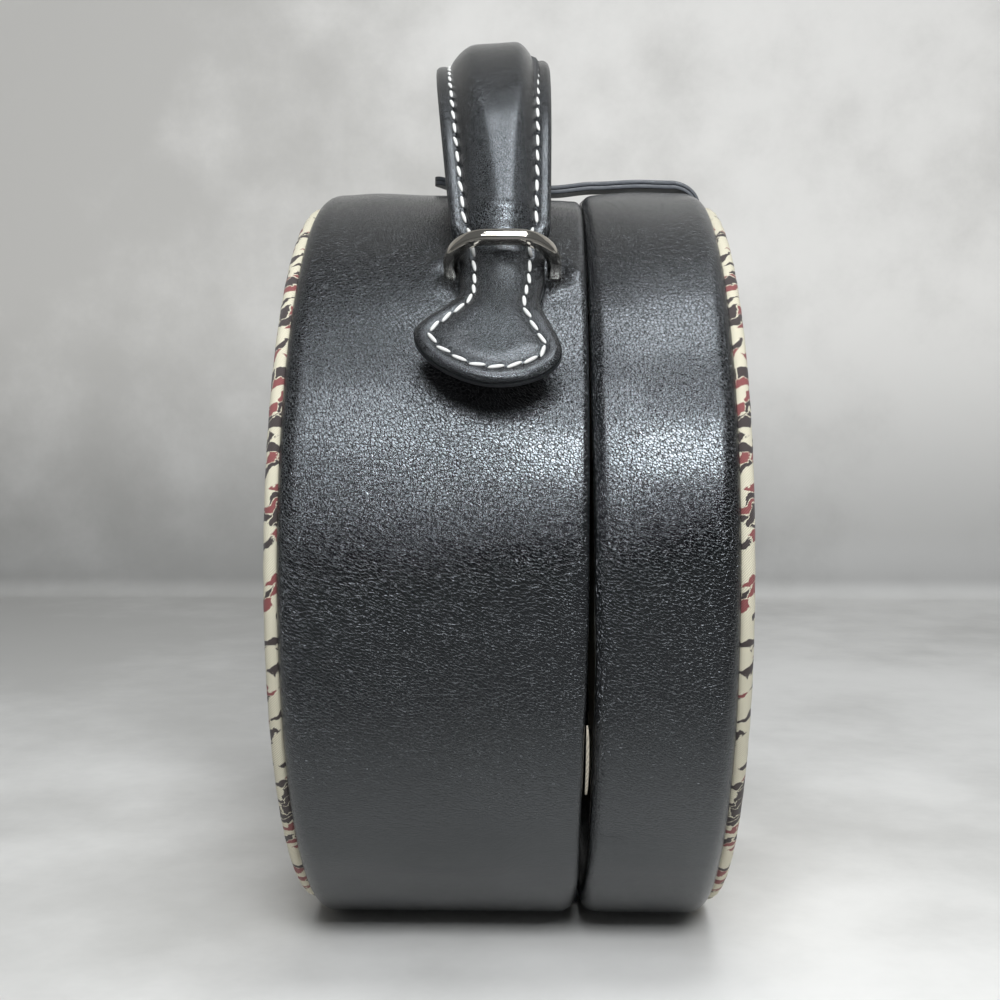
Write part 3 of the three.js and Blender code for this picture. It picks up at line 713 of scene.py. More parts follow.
# %% Walls
RIPPLE = 0.09
BODY_CROWN = [(-55, 0.0), (-42, 0.6), (-24, 0.0), (-14, -0.3), (-4, -0.3), (13, -1.9), (19, -2.2)]
LID_CROWN = [(21, 0.1), (27, 0.5), (40, 0.75), (50, 0.5), (57, 0.0)]
SLACK_FROM = math.radians(8)
SLACK_TO = math.radians(28)
CROWN_SKIN = (110.5, 114)
LID_RIM_SINK = 0.8
SINK_SKIN = (112, 114)
SINK_ALONG = (36, 21)
SINK_ABOVE = -0.6 * RADIUS
RIPPLE_ABOVE = -0.7 * RADIUS


def crown_wall(knots):
    def rule(places):
        _, _, radius, angle = about_axis(places)
        near_top = smooth_step(SLACK_TO, SLACK_FROM, np.abs(angle))
        outside = smooth_step(*CROWN_SKIN, radius)
        return moved_out(places, eased(places[:, 0], knots) * near_top * outside)

    return rule


def sink_lid_rim(places):
    _, z, radius, _ = about_axis(places)
    change = LID_RIM_SINK * smooth_step(*SINK_ALONG, places[:, 0]) * smooth_step(*SINK_SKIN, radius)
    return moved_out(places, -change, z > SINK_ABOVE)


def soften_wall(places):
    x = places[:, 0]
    _, z, _, angle = about_axis(places)
    ripple = np.sin(5 * angle + 0.07 * x) + 0.6 * np.sin(11 * angle - 0.13 * x + 1.3)
    return moved_out(places, RIPPLE * ripple, z > RIPPLE_ABOVE)


body_wall = spin_outline("body_leather", body_outline, steps=360)
reshape(body_wall, round_at_hinge(body_high.x), press_base, lean_rim(body_high.x, BODY_RIM_LEAN))
reshape(body_wall, crown_wall(BODY_CROWN), soften_wall, dimple_wall)
dress(body_wall, wall_leather, "leather", "case", "body_wrap")

lid_wall = spin_outline("lid_leather", lid_outline, steps=360)
reshape(lid_wall, round_at_hinge(lid_low.x), press_base, lean_rim(lid_low.x, LID_RIM_LEAN))
reshape(lid_wall, crown_wall(LID_CROWN), sink_lid_rim, soften_wall)
dress(lid_wall, wall_leather, "leather", "lid", "lid_wrap")

# %% [markdown]
# ## Piping
# A cord in bias-cut cloth is sewn round both faces. A torus is already the right shape, and it brings a
# UV map with one axis along the cord, which the print needs. The cloth strains where the cord turns, so
# the surface gets slight slanted folds.

# %% Piping
PIPING_X = 59.8
FOLD_DEPTH = 0.022


def crease_piping(places):
    y, z, radius, angle = about_axis(places)
    from_ring = radius - PIPING_RING
    fold = np.sin(angle * 190 + 0.9 * from_ring) + 0.5 * np.sin(angle * 83 + 2.0)
    swell = 1 + FOLD_DEPTH * fold
    middle_x = np.sign(places[:, 0]) * PIPING_X
    scale = (PIPING_RING + from_ring * swell) / np.maximum(radius, 1)
    return np.stack([middle_x + (places[:, 0] - middle_x) * swell, y * scale, CENTRE_Z + z * scale], -1)


def make_piping(name, x, body, node):
    bpy.ops.object.select_all(action="DESELECT")
    bpy.ops.mesh.primitive_torus_add(
        major_segments=480,
        minor_segments=16,
        major_radius=PIPING_RING * MM,
        minor_radius=PIPING_RADIUS * MM,
        location=(x * MM, 0, CENTRE_Z * MM),
        rotation=(0, math.radians(90), 0),
        generate_uvs=True,
    )
    piece = name_new(name)
    bpy.ops.object.transform_apply(location=True, rotation=True, scale=True)
    bpy.ops.object.shade_smooth()
    reshape(piece, crease_piping, press_base)
    dress(piece, piping_cloth, "printed_cloth", body, node)


make_piping("back_cord", -PIPING_X, "case", "back_piping")
make_piping("front_cord", PIPING_X, "lid", "front_piping")

# %% [markdown]
# ## Padded faces
# Each face is a disc of printed cloth over thin wadding, pulled tight to the piping. It is full in the
# middle, rolls down to the seam, and is gathered there in small puckers. It is a tight pad, so the roll
# and the puckers are shaped directly rather than blown up by a simulation.

# %% Faces
PANEL_FACE_X = 62.05
PANEL_SKIRT_X = 59.6
PANEL_BACK_X = 57.5
PANEL_RADIUS = PIPING_RING - PIPING_RADIUS - 0.3
PANEL_ROLL = 9.0
PUCKER_DEPTH = 0.11
PUCKER_FROM = 14
PUCKER_FULL = 2


def panel_outline(side):
    outline = [(radius, side * PANEL_FACE_X) for radius in (0, 20, 40, 60, 72, 82, 90)]
    rise = PANEL_FACE_X - PANEL_SKIRT_X
    for a in quarter(10):
        radius = PANEL_RADIUS - PANEL_ROLL * (1 - math.sin(a))
        outline.append((radius, side * (PANEL_SKIRT_X + rise * math.cos(a))))
    return outline + [(PANEL_RADIUS, side * PANEL_BACK_X), (0, side * PANEL_BACK_X)]


def pucker_face(places):
    _, _, radius, angle = about_axis(places)
    near_seam = smooth_step(PANEL_RADIUS - PUCKER_FROM, PANEL_RADIUS - PUCKER_FULL, radius)
    near_seam = near_seam * (np.abs(places[:, 0]) > PANEL_SKIRT_X)
    gather = np.sin(74 * angle) + 0.6 * np.sin(47 * angle + 1.1) + 0.4 * np.sin(131 * angle + 2.3)
    puckered = places.copy()
    puckered[:, 0] -= np.sign(places[:, 0]) * PUCKER_DEPTH * near_seam * (1.2 + gather)
    return puckered


def make_face(name, side, body, node):
    piece = spin_outline(name, panel_outline(side), steps=300)
    reshape(piece, pucker_face, press_base)
    dress(piece, face_cloth, "printed_cloth", body, node)


make_face("back_face", -1, "case", "back_panel")
make_face("front_face", 1, "lid", "front_panel")

# %% [markdown]
# ## Inside: lining and mirror
# The inside shows when the lid is open. A cloth band and a cloth disc line each half, and a round mirror
# sits in the lid behind a leather-covered ring. All of them are outlines spun round the same axis.

# %% Linings and mirror
CLOTH_EDGE = 0.3
MIRROR_LIP = 77.0
MIRROR_LIP_DEPTH = 0.7
RING_CROWN = 1.1
GLASS_PLAY = 0.3


def band_outline(node):
    low, high = node_box(node)
    outline = [(HEM_INNER, low.x), (HEM_OUTER, low.x), (HEM_OUTER, high.x), (HEM_INNER, high.x)]
    return outline + outline[:1]


def disc_outline(node):
    low, high = node_box(node)
    radius = high.y
    inner = radius - CLOTH_EDGE
    front = [(0, low.x), (inner, low.x), (radius, low.x + CLOTH_EDGE)]
    return front + [(radius, high.x - CLOTH_EDGE), (inner, high.x), (0, high.x)]


def ring_outline():
    low, high = node_box("mirror_frame")
    _, glass_high = node_box("mirror_glass")
    middle = 0.5 * (MIRROR_LIP + high.y)
    half = 0.5 * (high.y - MIRROR_LIP)
    crown = []
    for a in quarter(12):
        crown.append((middle - half * math.cos(2 * a), low.x + RING_CROWN * (1 - math.sin(2 * a))))
    lip_x = low.x + RING_CROWN + MIRROR_LIP_DEPTH
    inside = glass_high.y + GLASS_PLAY
    return crown + [(high.y, high.x), (inside, high.x), (inside, lip_x), (MIRROR_LIP, lip_x)] + crown[:1]


def line_with_cloth(node, body, outline):
    cloth = spin_outline(node + "_cloth", outline)
    reshape(cloth, press_base)
    dress(cloth, lining_cloth, "lining", body, node)


for node, body in (("body_lining", "case"), ("lid_lining", "lid")):
    line_with_cloth(node, body, band_outline(node))
for node, body in (("back_lining", "case"), ("front_lining", "lid")):
    line_with_cloth(node, body, disc_outline(node))

mirror = spin_outline("mirror_disc", disc_outline("mirror_glass"), steps=160)
dress(mirror, mirror_silver, "mirror", "lid", "mirror_glass")
mirror_ring = spin_outline("mirror_ring", ring_outline(), steps=200)
dress(mirror_ring, handle_leather, "leather", "lid", "mirror_frame")

# %% [markdown]
# ## Wire loops
# Each loop is a bent nickel bar of square section: two legs, two round corners and a crosspiece. By hand
# it is a small plane with rounded corners that is extruded up a leg, spun through a corner, extruded
# across, spun again and extruded down. It is made upright at the top of the drum, tipped a little the way
# the strap pulls it, and then turned round the drum's axis to its place.

# %% Wire loops
LOOP_BAR_RADIUS = 128.3
LOOP_CORNER = 10.0
LOOP_FOOT = 108.45
LOOP_TIP = math.radians(7)
LOOP_TIP_RADIUS = RADIUS - 2
WIRE_ROUND = 1.45


def turn_about_x(angle, height):
    pivot = Matrix.Translation((0, 0, height * MM))
    return pivot @ Matrix.Rotation(angle, 4, "X") @ pivot.inverted()


def extrude_by(x, z):
    bpy.ops.mesh.extrude_region_move(TRANSFORM_OT_translate={"value": (x * MM, 0, z * MM)})


def make_loop(name, angle, node):
    bpy.ops.object.select_all(action="DESELECT")
    foot = Vector((HANDLE_X - LEG_OFFSET, 0, CENTRE_Z + LOOP_FOOT)) * MM
    bpy.ops.mesh.primitive_plane_add(size=LOOP_WIRE * MM, location=foot)
    piece = name_new(name)
    bpy.ops.object.transform_apply(location=True, rotation=True, scale=True)
    bpy.ops.object.mode_set(mode="EDIT")
    bpy.ops.mesh.select_all(action="SELECT")
    bpy.ops.mesh.bevel(offset=WIRE_ROUND * MM, segments=5, affect="VERTICES")
    bpy.ops.mesh.select_all(action="SELECT")
    leg = LOOP_BAR_RADIUS - LOOP_CORNER - LOOP_FOOT
    bar = 2 * (LEG_OFFSET - LOOP_CORNER)
    corner_z = (CENTRE_Z + LOOP_BAR_RADIUS - LOOP_CORNER) * MM
    left = ((HANDLE_X - LEG_OFFSET + LOOP_CORNER) * MM, 0, corner_z)
    right = ((HANDLE_X + LEG_OFFSET - LOOP_CORNER) * MM, 0, corner_z)
    extrude_by(0, leg)
    bpy.ops.mesh.spin(steps=10, angle=math.radians(-90), center=left, axis=(0, 1, 0))
    extrude_by(bar, 0)
    bpy.ops.mesh.spin(steps=10, angle=math.radians(-90), center=right, axis=(0, 1, 0))
    extrude_by(0, -leg)
    close_up()
    tipped = turn_about_x(math.copysign(LOOP_TIP, angle), CENTRE_Z + LOOP_TIP_RADIUS)
    piece.data.transform(turn_about_x(angle, CENTRE_Z) @ tipped)
    piece.data.update()
    dress(piece, nickel, "plating", "case", node)


make_loop("near_wire_loop", LOOP_ANGLE, "loop_near")
make_loop("far_wire_loop", -LOOP_ANGLE, "loop_far")

# %% [markdown]
# ## The handle's line
# The handle is one long strap. From the tip of a tab it runs straight up through its loop, over an arch
# and down to the other tab. Everything on it is placed by two numbers: the distance along the strap from
# the top of the arch, and the distance across it. These helpers turn such a pair into a place, and give
# the strap's width at each point.

# %% Handle line
LEG_ANGLE = math.radians(56)
LOOP_POINT = 85.9
HANDLE_RISE = 154.3
TAB_LENGTH = 44.5
TAB_SHOULDER = 31.0
TAB_FULLNESS = 1.8
STRAP_WIDTHS = [(-12, 27.0), (-6.2, 23.0), (2.5, 22.4), (13, 21.4), (TAB_SHOULDER, 37.2)]
GRIP_FOOT = 12
GRIP_REACH = 70
GRIP_SWELL = 7.0
GRIP_EVENNESS = 1.3
TIPS_FROM = 0.84
slope = math.cos(LEG_ANGLE)
drop = math.sin(LEG_ANGLE)
ARCH_RADIUS = (LOOP_POINT * drop - (HANDLE_RISE - LOOP_POINT) * slope) / (drop**2 - slope * (1 - slope))
LEG_LENGTH = (LOOP_POINT - ARCH_RADIUS * drop) / slope
ARCH_HALF = ARCH_RADIUS * LEG_ANGLE
TO_LOOP = ARCH_HALF + LEG_LENGTH
TO_SHOULDER = TO_LOOP + TAB_SHOULDER
HALF_LENGTH = TO_LOOP + TAB_LENGTH


def handle_frame(along):
    bend = np.clip(along, -ARCH_HALF, ARCH_HALF) / ARCH_RADIUS
    straight = np.maximum(np.abs(along) - ARCH_HALF, 0)
    zero = np.zeros_like(bend)
    y = ARCH_RADIUS * np.sin(bend) + np.sign(along) * straight * slope
    z = CENTRE_Z + HANDLE_RISE - ARCH_RADIUS * (1 - np.cos(bend)) - straight * drop
    origin = np.stack([zero + HANDLE_X, y, z], -1)
    out = np.stack([zero, np.sin(bend), np.cos(bend)], -1)
    return origin, out


def handle_width(past):
    """The strap's width, by the distance past the loop: the grip swells from its foot to the arch."""
    share = np.clip((-past - GRIP_FOOT) / GRIP_REACH, 0, 1)
    return eased(past, STRAP_WIDTHS) + GRIP_SWELL * (1 - (1 - share) ** GRIP_EVENNESS)


def handle_row(row):
    """Rows from -1 to 1 become distances along the strap, crowded at both tips, and half its width there."""
    turn = np.clip((np.abs(row) - TIPS_FROM) / (1 - TIPS_FROM), 0, 1) * math.pi / 2
    power = 2 / TAB_FULLNESS
    body = np.minimum(np.abs(row) / TIPS_FROM, 1) * TO_SHOULDER
    tip = (TAB_LENGTH - TAB_SHOULDER) * np.sin(turn) ** power
    half = 0.5 * handle_width(body - TO_LOOP) * np.maximum(np.cos(turn), 0.004) ** power
    return np.sign(row) * (body + tip), half


print(f"strap {2 * HALF_LENGTH:.0f} mm long, arch radius {ARCH_RADIUS:.1f} mm")

# %% [markdown]
# The handle's leather is padded. Across the strap the surface starts at the painted edge, rolls up over a
# soft border, dips at the stitch line and then swells over the filler: high on the grip, low in the loops
# and almost flat on the tabs. All of that is one height that depends on the distance from the strap's
# outline, so it works round the tab's end as well as along the sides.

# %% Handle surface
PADDING = [(-50, 6.0), (-16, 5.0), (-9, 2.6), (-5, 0.6), (2, 0.55), (16, 0.5), (TAB_LENGTH, 0.4)]
BORDER = 3.9
TAB_BORDER = 4.3
EDGE_HEIGHT = 0.3
BORDER_HEIGHT = 1.6
BORDER_ROLL = 1.5
TAB_SOFTER = 0.5
GROOVE_DEPTH = 0.5
GROOVE_WIDTH = 0.75
GROOVE_SIDE = 0.2
BODY_FLANK = 0.65
LID_FLANK = 0.45
FOOT_FLANK = 0.35
FOOT_FLANK_ALONG = (-65, -15)
TAB_FLANK = 0.35
TAB_ALONG = (10, 22)
OUTLINE_ROWS = 900
BLOCK = 2000


def both_sides(rows, row_rule):
    """A strap's closed outline as points (across, along): along one side and back along the other."""
    row = np.concatenate([np.linspace(-1, 1, rows), np.linspace(1, -1, rows)])
    along, half = row_rule(row)
    return np.stack([np.repeat([1.0, -1.0], rows) * half, along], -1)


OUTLINE = both_sides(OUTLINE_ROWS, handle_row)


def edge_distance(across, along):
    points = np.stack([across, along], -1)
    nearest = np.empty(len(points))
    for start in range(0, len(points), BLOCK):
        block = points[start : start + BLOCK]
        gaps = np.linalg.norm(block[:, None, :] - OUTLINE[None, :, :], axis=2)
        nearest[start : start + BLOCK] = gaps.min(1)
    return nearest


def tab_share(along):
    return smooth_step(*TAB_ALONG, np.abs(along) - TO_LOOP)


def border_width(along):
    return BORDER + (TAB_BORDER - BORDER) * tab_share(along)


def handle_height(across, along, half):
    away = edge_distance(across, along)
    past = np.abs(along) - TO_LOOP
    border = border_width(along)
    on_tab = tab_share(along)
    roll = np.clip(away / (BORDER_ROLL + TAB_SOFTER * on_tab), 0, 1)
    rolled = BORDER_HEIGHT + TAB_SOFTER * on_tab - EDGE_HEIGHT
    height = EDGE_HEIGHT + rolled * np.sqrt(1 - (1 - roll) ** 2)
    height -= GROOVE_DEPTH * (1 - 0.3 * on_tab) * bell(away - border, GROOVE_WIDTH)
    foot = border + GROOVE_SIDE
    inner = np.clip((away - foot) / np.maximum(half - foot, 0.5), 0, 1)
    flank = np.where(across > 0, LID_FLANK, BODY_FLANK) + FOOT_FLANK * smooth_step(*FOOT_FLANK_ALONG, past)
    round_top = 1 - (1 - np.clip(inner / flank, 0, 1)) ** 2
    flat_top = smooth_step(0, TAB_FLANK, inner)
    return height + eased(past, PADDING) * (round_top * (1 - on_tab) + flat_top * on_tab)


print("outline of", len(OUTLINE), "points")

# %% [markdown]
# A hand-sewn strap isn't dead straight. The grip leans to the body's side and is a little twisted, the
# tabs bend out from the wall, and the near one hangs slightly turned. The round loop also bows the strap:
# its edges sink where it passes through. These small errors are added when a point is carried from the
# strap's own plane to its place.

# %% Handle lean
GRIP_LEAN = -4.9
GRIP_LEAN_REACH = 0.9 * TO_LOOP
GRIP_TWIST = 0.06
TAB_LEAN = -3.2
TAB_LEAN_FROM = 6
TAB_TURN = 0.15
TAB_BEND = 0.18
BEND_FROM = 3
BEND_SOFTNESS = 4
NECK_BOW = 0.027
BOWED = [(-14, 0.0), (-3, 1.0), (4, 1.0), (20, 0.0)]


def on_handle(across, along, height):
    past = np.abs(along) - TO_LOOP
    on_grip = np.clip(-past / GRIP_LEAN_REACH, 0, 1)
    near_tab = smooth_step(TAB_LEAN_FROM, TAB_SHOULDER, past) * (along < 0)
    origin, out = handle_frame(along - TAB_TURN * across * near_tab)
    below = 0.5 * (past - BEND_FROM + np.hypot(past - BEND_FROM, BEND_SOFTNESS))
    rise = TAB_BEND * below - NECK_BOW * across**2 * eased(past, BOWED)
    place = origin + out * (height + GRIP_TWIST * across * on_grip + rise)[:, None]
    place[:, 0] += across + GRIP_LEAN * on_grip + TAB_LEAN * near_tab
    return place


print("grip leans by", GRIP_LEAN, "mm")

# %% [markdown]
# A strap piece starts as a grid that is extruded into a thin slab, with rows along the strap and columns
# across it. Its points are then carried to the handle: the top layer takes the padded height, and the
# bottom layer lies flat on the sewn plane. The backing is a second slab below that plane with softly
# rounded edges.

# %% Handle pieces
SEWN_GAP = 0.12
BACKING_THICKNESS = 1.5
BACKING_EDGE = 0.7
BACKING_ROUND = 0.45
SLAB_SMOOTH = math.radians(50)


def face_outwards():
    bpy.ops.mesh.select_all(action="SELECT")
    bpy.ops.mesh.normals_make_consistent(inside=False)
    bpy.ops.object.mode_set(mode="OBJECT")


def slab(name, columns, rows, rule):
    bpy.ops.object.select_all(action="DESELECT")
    bpy.ops.mesh.primitive_grid_add(x_subdivisions=columns, y_subdivisions=rows, size=2)
    piece = name_new(name)
    bpy.ops.object.mode_set(mode="EDIT")
    bpy.ops.mesh.select_all(action="SELECT")
    bpy.ops.mesh.extrude_region_move(TRANSFORM_OT_translate={"value": (0, 0, -1)})
    face_outwards()
    reshape(piece, rule)
    only_select(piece)
    bpy.ops.object.mode_set(mode="EDIT")
    face_outwards()
    bpy.ops.object.shade_smooth_by_angle(angle=SLAB_SMOOTH)
    return piece


def unit(places):
    """A slab's own coordinates: column and row from -1 to 1, and whether the point is on the top layer."""
    return places[:, 0] * MM, places[:, 1] * MM, places[:, 2] * MM > -0.5


def spread(column, half):
    """Columns from -1 to 1 become distances across a strap, crowded at its edges."""
    return half * np.sin(column * math.pi / 2)


def rounding(away, reach, depth):
    """How far a slab's edge is rounded off, by the distance from its outline."""
    inside = np.clip(away / reach, 0, 1)
    return depth * (1 - np.sqrt(1 - (1 - inside) ** 2))


def cover_rule(places):
    column, row, top = unit(places)
    along, half = handle_row(row)
    across = spread(column, half)
    height = np.where(top, handle_height(across, along, half), 0.0)
    return on_handle(across, along, height + SEWN_GAP)


def backing_rule(places):
    column, row, top = unit(places)
    along, half = handle_row(row)
    across = spread(column, half)
    inset = rounding(edge_distance(across, along), BACKING_EDGE, BACKING_ROUND)
    height = np.where(top, -SEWN_GAP - 0.3 * inset, -SEWN_GAP - BACKING_THICKNESS + inset)
    return on_handle(across, along, height)


cover = slab("handle_leather_cover", 56, 300, cover_rule)
dress(cover, handle_leather, "leather", "handle", "handle_cover")

backing = slab("handle_strap_backing", 40, 300, backing_rule)
dress(backing, strap_leather, "strap_leather", "handle", "handle_backing")

# %% [markdown]
# ## White stitching
# The cover is saddle-stitched to the backing all round, with thick white thread. One stitch is a small
# sphere drawn out into a spindle; it is copied along a line that runs inside the outline, laid along the
# line and sunk a little into the groove. A slight slant is what makes hand stitching look like it is.

# %% Stitching
STITCH_PITCH = 5.6
TAB_PITCH = 4.7
STITCH_LENGTH = 4.2
STITCH_THICKNESS = 1.05
STITCH_FLATNESS = 0.8
STITCH_SLANT = math.radians(8)
STITCH_RISE = 0.3
PITCH_CHANGE = (-8, 8)


def fill_out(places):
    """Turn a long ellipsoid into a fuller spindle, which keeps its thickness almost to the ends."""
    along = np.minimum(np.abs(places[:, 0]) / (STITCH_LENGTH / 2), 0.999)
    filled = places.copy()
    filled[:, 1:] *= ((1 - along**3) ** 0.6 / np.sqrt(1 - along**2))[:, None]
    return filled


def model_stitch():
    bpy.ops.object.select_all(action="DESELECT")
    lying = (0, math.radians(90), 0)
    bpy.ops.mesh.primitive_uv_sphere_add(segments=8, ring_count=9, radius=1, rotation=lying)
    stitch = name_new("stitch_pattern")
    half = STITCH_THICKNESS / 2 * MM
    stitch.scale = (half * STITCH_FLATNESS, half, STITCH_LENGTH / 2 * MM)
    bpy.ops.object.transform_apply(location=True, rotation=True, scale=True)
    reshape(stitch, fill_out)
    bpy.ops.object.shade_smooth()
    return stitch


def inside_line(outline, inset):
    """Move a closed outline inwards by a distance, which may differ from point to point."""
    ahead = np.roll(outline, -1, 0) - np.roll(outline, 1, 0)
    ahead /= np.maximum(np.linalg.norm(ahead, axis=1), 1e-9)[:, None]
    inward = np.stack([-ahead[:, 1], ahead[:, 0]], -1)
    return outline + inward * np.reshape(inset, (-1, 1))


def stepped(line, pitch):
    """Places and directions along a closed line, one for each stitch; the pitch may differ along it."""
    closed = np.vstack([line, line[:1]])
    stitches = np.linalg.norm(np.diff(closed, axis=0), axis=1) / pitch
    run = np.concatenate([[0], np.cumsum(stitches)])
    count = round(run[-1])
    marks = (np.arange(count) + 0.5) * run[-1] / count

    def at(where):
        return np.stack([np.interp(where, run, closed[:, axis]) for axis in (0, 1)], -1)

    places = at(marks)
    return places, at((marks + 0.1) % run[-1]) - places


def lay_stitches(name, stitch, frames, body, slot):
    """Copy the stitch to each (place, direction, outward normal) and join the copies into one piece."""
    copies = []
    for count, (place, ahead, out) in enumerate(frames):
        ahead = Vector(ahead).normalized()
        out = Vector(out)
        out = (out - ahead * out.dot(ahead)).normalized()
        turn = Matrix((ahead, out.cross(ahead), out)).transposed().to_4x4()
        slant = Matrix.Rotation(STITCH_SLANT * (1 + 0.7 * math.sin(2.4 * count)), 4, "Z")
        copy = stitch.copy()
        copy.data = stitch.data.copy()
        copy.data.transform(Matrix.Translation(Vector(place) * MM) @ turn @ slant)
        bpy.context.scene.collection.objects.link(copy)
        copies.append(copy)
    only_select(copies[0])
    for copy in copies:
        copy.select_set(True)
    bpy.ops.object.join()
    row = name_new(name)
    dress(row, thread_white, slot, body)
    return row


def handle_stitch_frames():
    past = np.abs(OUTLINE[:, 1]) - TO_LOOP
    pitch = STITCH_PITCH + (TAB_PITCH - STITCH_PITCH) * smooth_step(*PITCH_CHANGE, past)
    marks, heads = stepped(inside_line(OUTLINE, border_width(OUTLINE[:, 1])), pitch)
    one_half = OUTLINE[OUTLINE_ROWS // 2 : OUTLINE_ROWS]
    half = np.interp(np.abs(marks[:, 1]), np.abs(one_half[:, 1]), one_half[:, 0])
    height = handle_height(marks[:, 0], marks[:, 1], half) + STITCH_RISE
    places = on_handle(marks[:, 0], marks[:, 1], height)
    later = on_handle(marks[:, 0] + heads[:, 0], marks[:, 1] + heads[:, 1], height)
    _, out = handle_frame(marks[:, 1])
    return list(zip(places, later - places, out))


stitch = model_stitch()
lay_stitches("handle_stitching", stitch, handle_stitch_frames(), "handle", "printed_cloth")

# %% [markdown]
# ## Closure strap
# A narrow two-ply strap starts in the seam beside the front piping, bends over the lid's rolled edge,
# crosses the lid and the seam under the handle, and ends in a rounded tip above a magnetic snap. It is
# stiff, so it stands a little off the leather. Its two plies show at the painted edge, so each ply is a
# slab of its own.

# %% Strap line
STRAP_WIDTH = 10.0
STRAP_PLY = 1.35
STRAP_SKIVED = 1.6
STRAP_TIP_ROUND = 5.0
STRAP_CROWDING = 1.4
TIP_CURL = 2.0
CURL_FROM_X = -17
PLY_EDGE = 0.3
PLY_ROUND = 0.22
SLACK = [(-12, 0.0), (-4, 0.0), (12.5, -1.4), (26, -0.25), (40, 0.3), (51, 0.0)]
tab_low, _ = node_box("closure_tab")
anchor_low, anchor_high = node_box("closure_anchor")
STRAP_TIP_X = tab_low.x
STRAP_LEVEL_Z = tab_low.z
ROLL_START = anchor_low.x
ROLL_AXIAL = anchor_high.x - STRAP_SKIVED - ROLL_START
ROLL_RADIAL = STRAP_LEVEL_Z - anchor_low.z
ROLL_LENGTH = 0.5 * math.pi * math.sqrt(0.5 * (ROLL_AXIAL**2 + ROLL_RADIAL**2))
LEVEL_LENGTH = ROLL_START - STRAP_TIP_X
STRAP_LENGTH = LEVEL_LENGTH + ROLL_LENGTH


def rolled_share(travel):
    return np.clip((travel - LEVEL_LENGTH) / ROLL_LENGTH, 0, 1)


def strap_line(travel):
    """Underside of the strap at a distance from its tip, and the direction that points out of its top."""
    x = np.minimum(STRAP_TIP_X + travel, ROLL_START)
    level = STRAP_LEVEL_Z + eased(x, SLACK) + TIP_CURL * smooth_step(CURL_FROM_X, STRAP_TIP_X, x)
    turn = rolled_share(travel) * math.pi / 2
    zero = np.zeros_like(travel)
    place = np.stack([x + ROLL_AXIAL * np.sin(turn), zero, level - ROLL_RADIAL * (1 - np.cos(turn))], -1)
    out = np.stack([ROLL_RADIAL * np.sin(turn), zero, ROLL_AXIAL * np.cos(turn)], -1)
    return place, out / np.linalg.norm(out, axis=-1, keepdims=True)


def strap_row(row):
    """Rows from -1 to 1 become distances from the round tip, crowded there, with half the width at each."""
    travel = STRAP_LENGTH * (0.5 * (1 + row)) ** STRAP_CROWDING
    short = np.clip(STRAP_TIP_ROUND - travel, 0, STRAP_TIP_ROUND)
    return travel, STRAP_WIDTH / 2 - STRAP_TIP_ROUND + np.sqrt(STRAP_TIP_ROUND**2 - short**2)


def ply_rule(low, high, inset):
    def rule(places):
        column, row, top = unit(places)
        travel, half = strap_row(row)
        half = half - inset
        across = spread(column, half)
        rounded = rounding(half - np.abs(across), PLY_EDGE, PLY_ROUND)
        skived = 1 - (1 - STRAP_SKIVED / (2 * STRAP_PLY)) * rolled_share(travel)
        height = np.where(top, high - rounded, low + rounded) * skived
        place, out = strap_line(travel)
        place = place + out * height[:, None]
        place[:, 1] += across
        return place

    return rule


print(f"strap {STRAP_LENGTH:.0f} mm long")

# %% Strap pieces
PLY_GAP = 0.04
UNDER_INSET = 0.08
EDGE_NORMAL = 0.55


def blend_strap(piece):
    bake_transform(piece)


def paint_edges(piece):
    piece.data.materials.append(edge_paint)
    for face in piece.data.polygons:
        if abs(face.normal.y) > EDGE_NORMAL:
            face.material_index = 1


def make_ply(name, low, high, inset, *nodes):
    ply = slab(name, 20, 220, ply_rule(low, high, inset))
    dress(ply, strap_leather, "strap_leather", None, *nodes)
    paint_edges(ply)
    blend_strap(ply)


make_ply("closure_strap_top", STRAP_PLY + PLY_GAP, 2 * STRAP_PLY, 0.0, "closure_tab", "closure_anchor")
make_ply("closure_strap_under", 0.0, STRAP_PLY, UNDER_INSET)

# %% [markdown]
# The strap is sewn round its border like the handle. The line of stitches follows the sides and the tip,
# and it bends with the strap.

# %% Strap stitching
STRAP_BORDER = 1.8
STRAP_SINK = 0.25
STRAP_ROWS = 600


def strap_stitch_frames():
    marks, heads = stepped(inside_line(both_sides(STRAP_ROWS, strap_row), STRAP_BORDER), STITCH_PITCH)
    sewn = marks[:, 1] < LEVEL_LENGTH
    marks = marks[sewn]
    heads = heads[sewn]
    place, out = strap_line(marks[:, 1])
    later, _ = strap_line(marks[:, 1] + heads[:, 1])
    on_top = out * (2 * STRAP_PLY - STRAP_SINK)
    place = place + on_top
    later = later + on_top
    place[:, 1] = marks[:, 0]
    later[:, 1] = marks[:, 0] + heads[:, 0]
    return list(zip(place, later - place, out))


strap_stitches = lay_stitches("strap_stitching", stitch, strap_stitch_frames(), None, "printed_cloth")
blend_strap(strap_stitches)
bpy.data.objects.remove(stitch)

# %% [markdown]
# ## Magnetic snap
# The snap is two nickel discs: the stud on the body with its stem through the wall, and the cap under the
# strap. Both are turned pieces, so an outline is spun round an upright axis.

# %% Snap
SNAP_STEM = 1.5
STUD_DISC = 1.3
STUD_HOLLOW = 0.25
CAP_HOLLOW = 0.2


def turn_upright(name, outline, centre_x):
    piece = draw_line(name, [(centre_x + radius, 0, z) for radius, z in outline])
    bpy.ops.mesh.spin(steps=64, angle=math.tau, center=(centre_x * MM, 0, 0), axis=(0, 0, 1))
    close_up()
    return piece


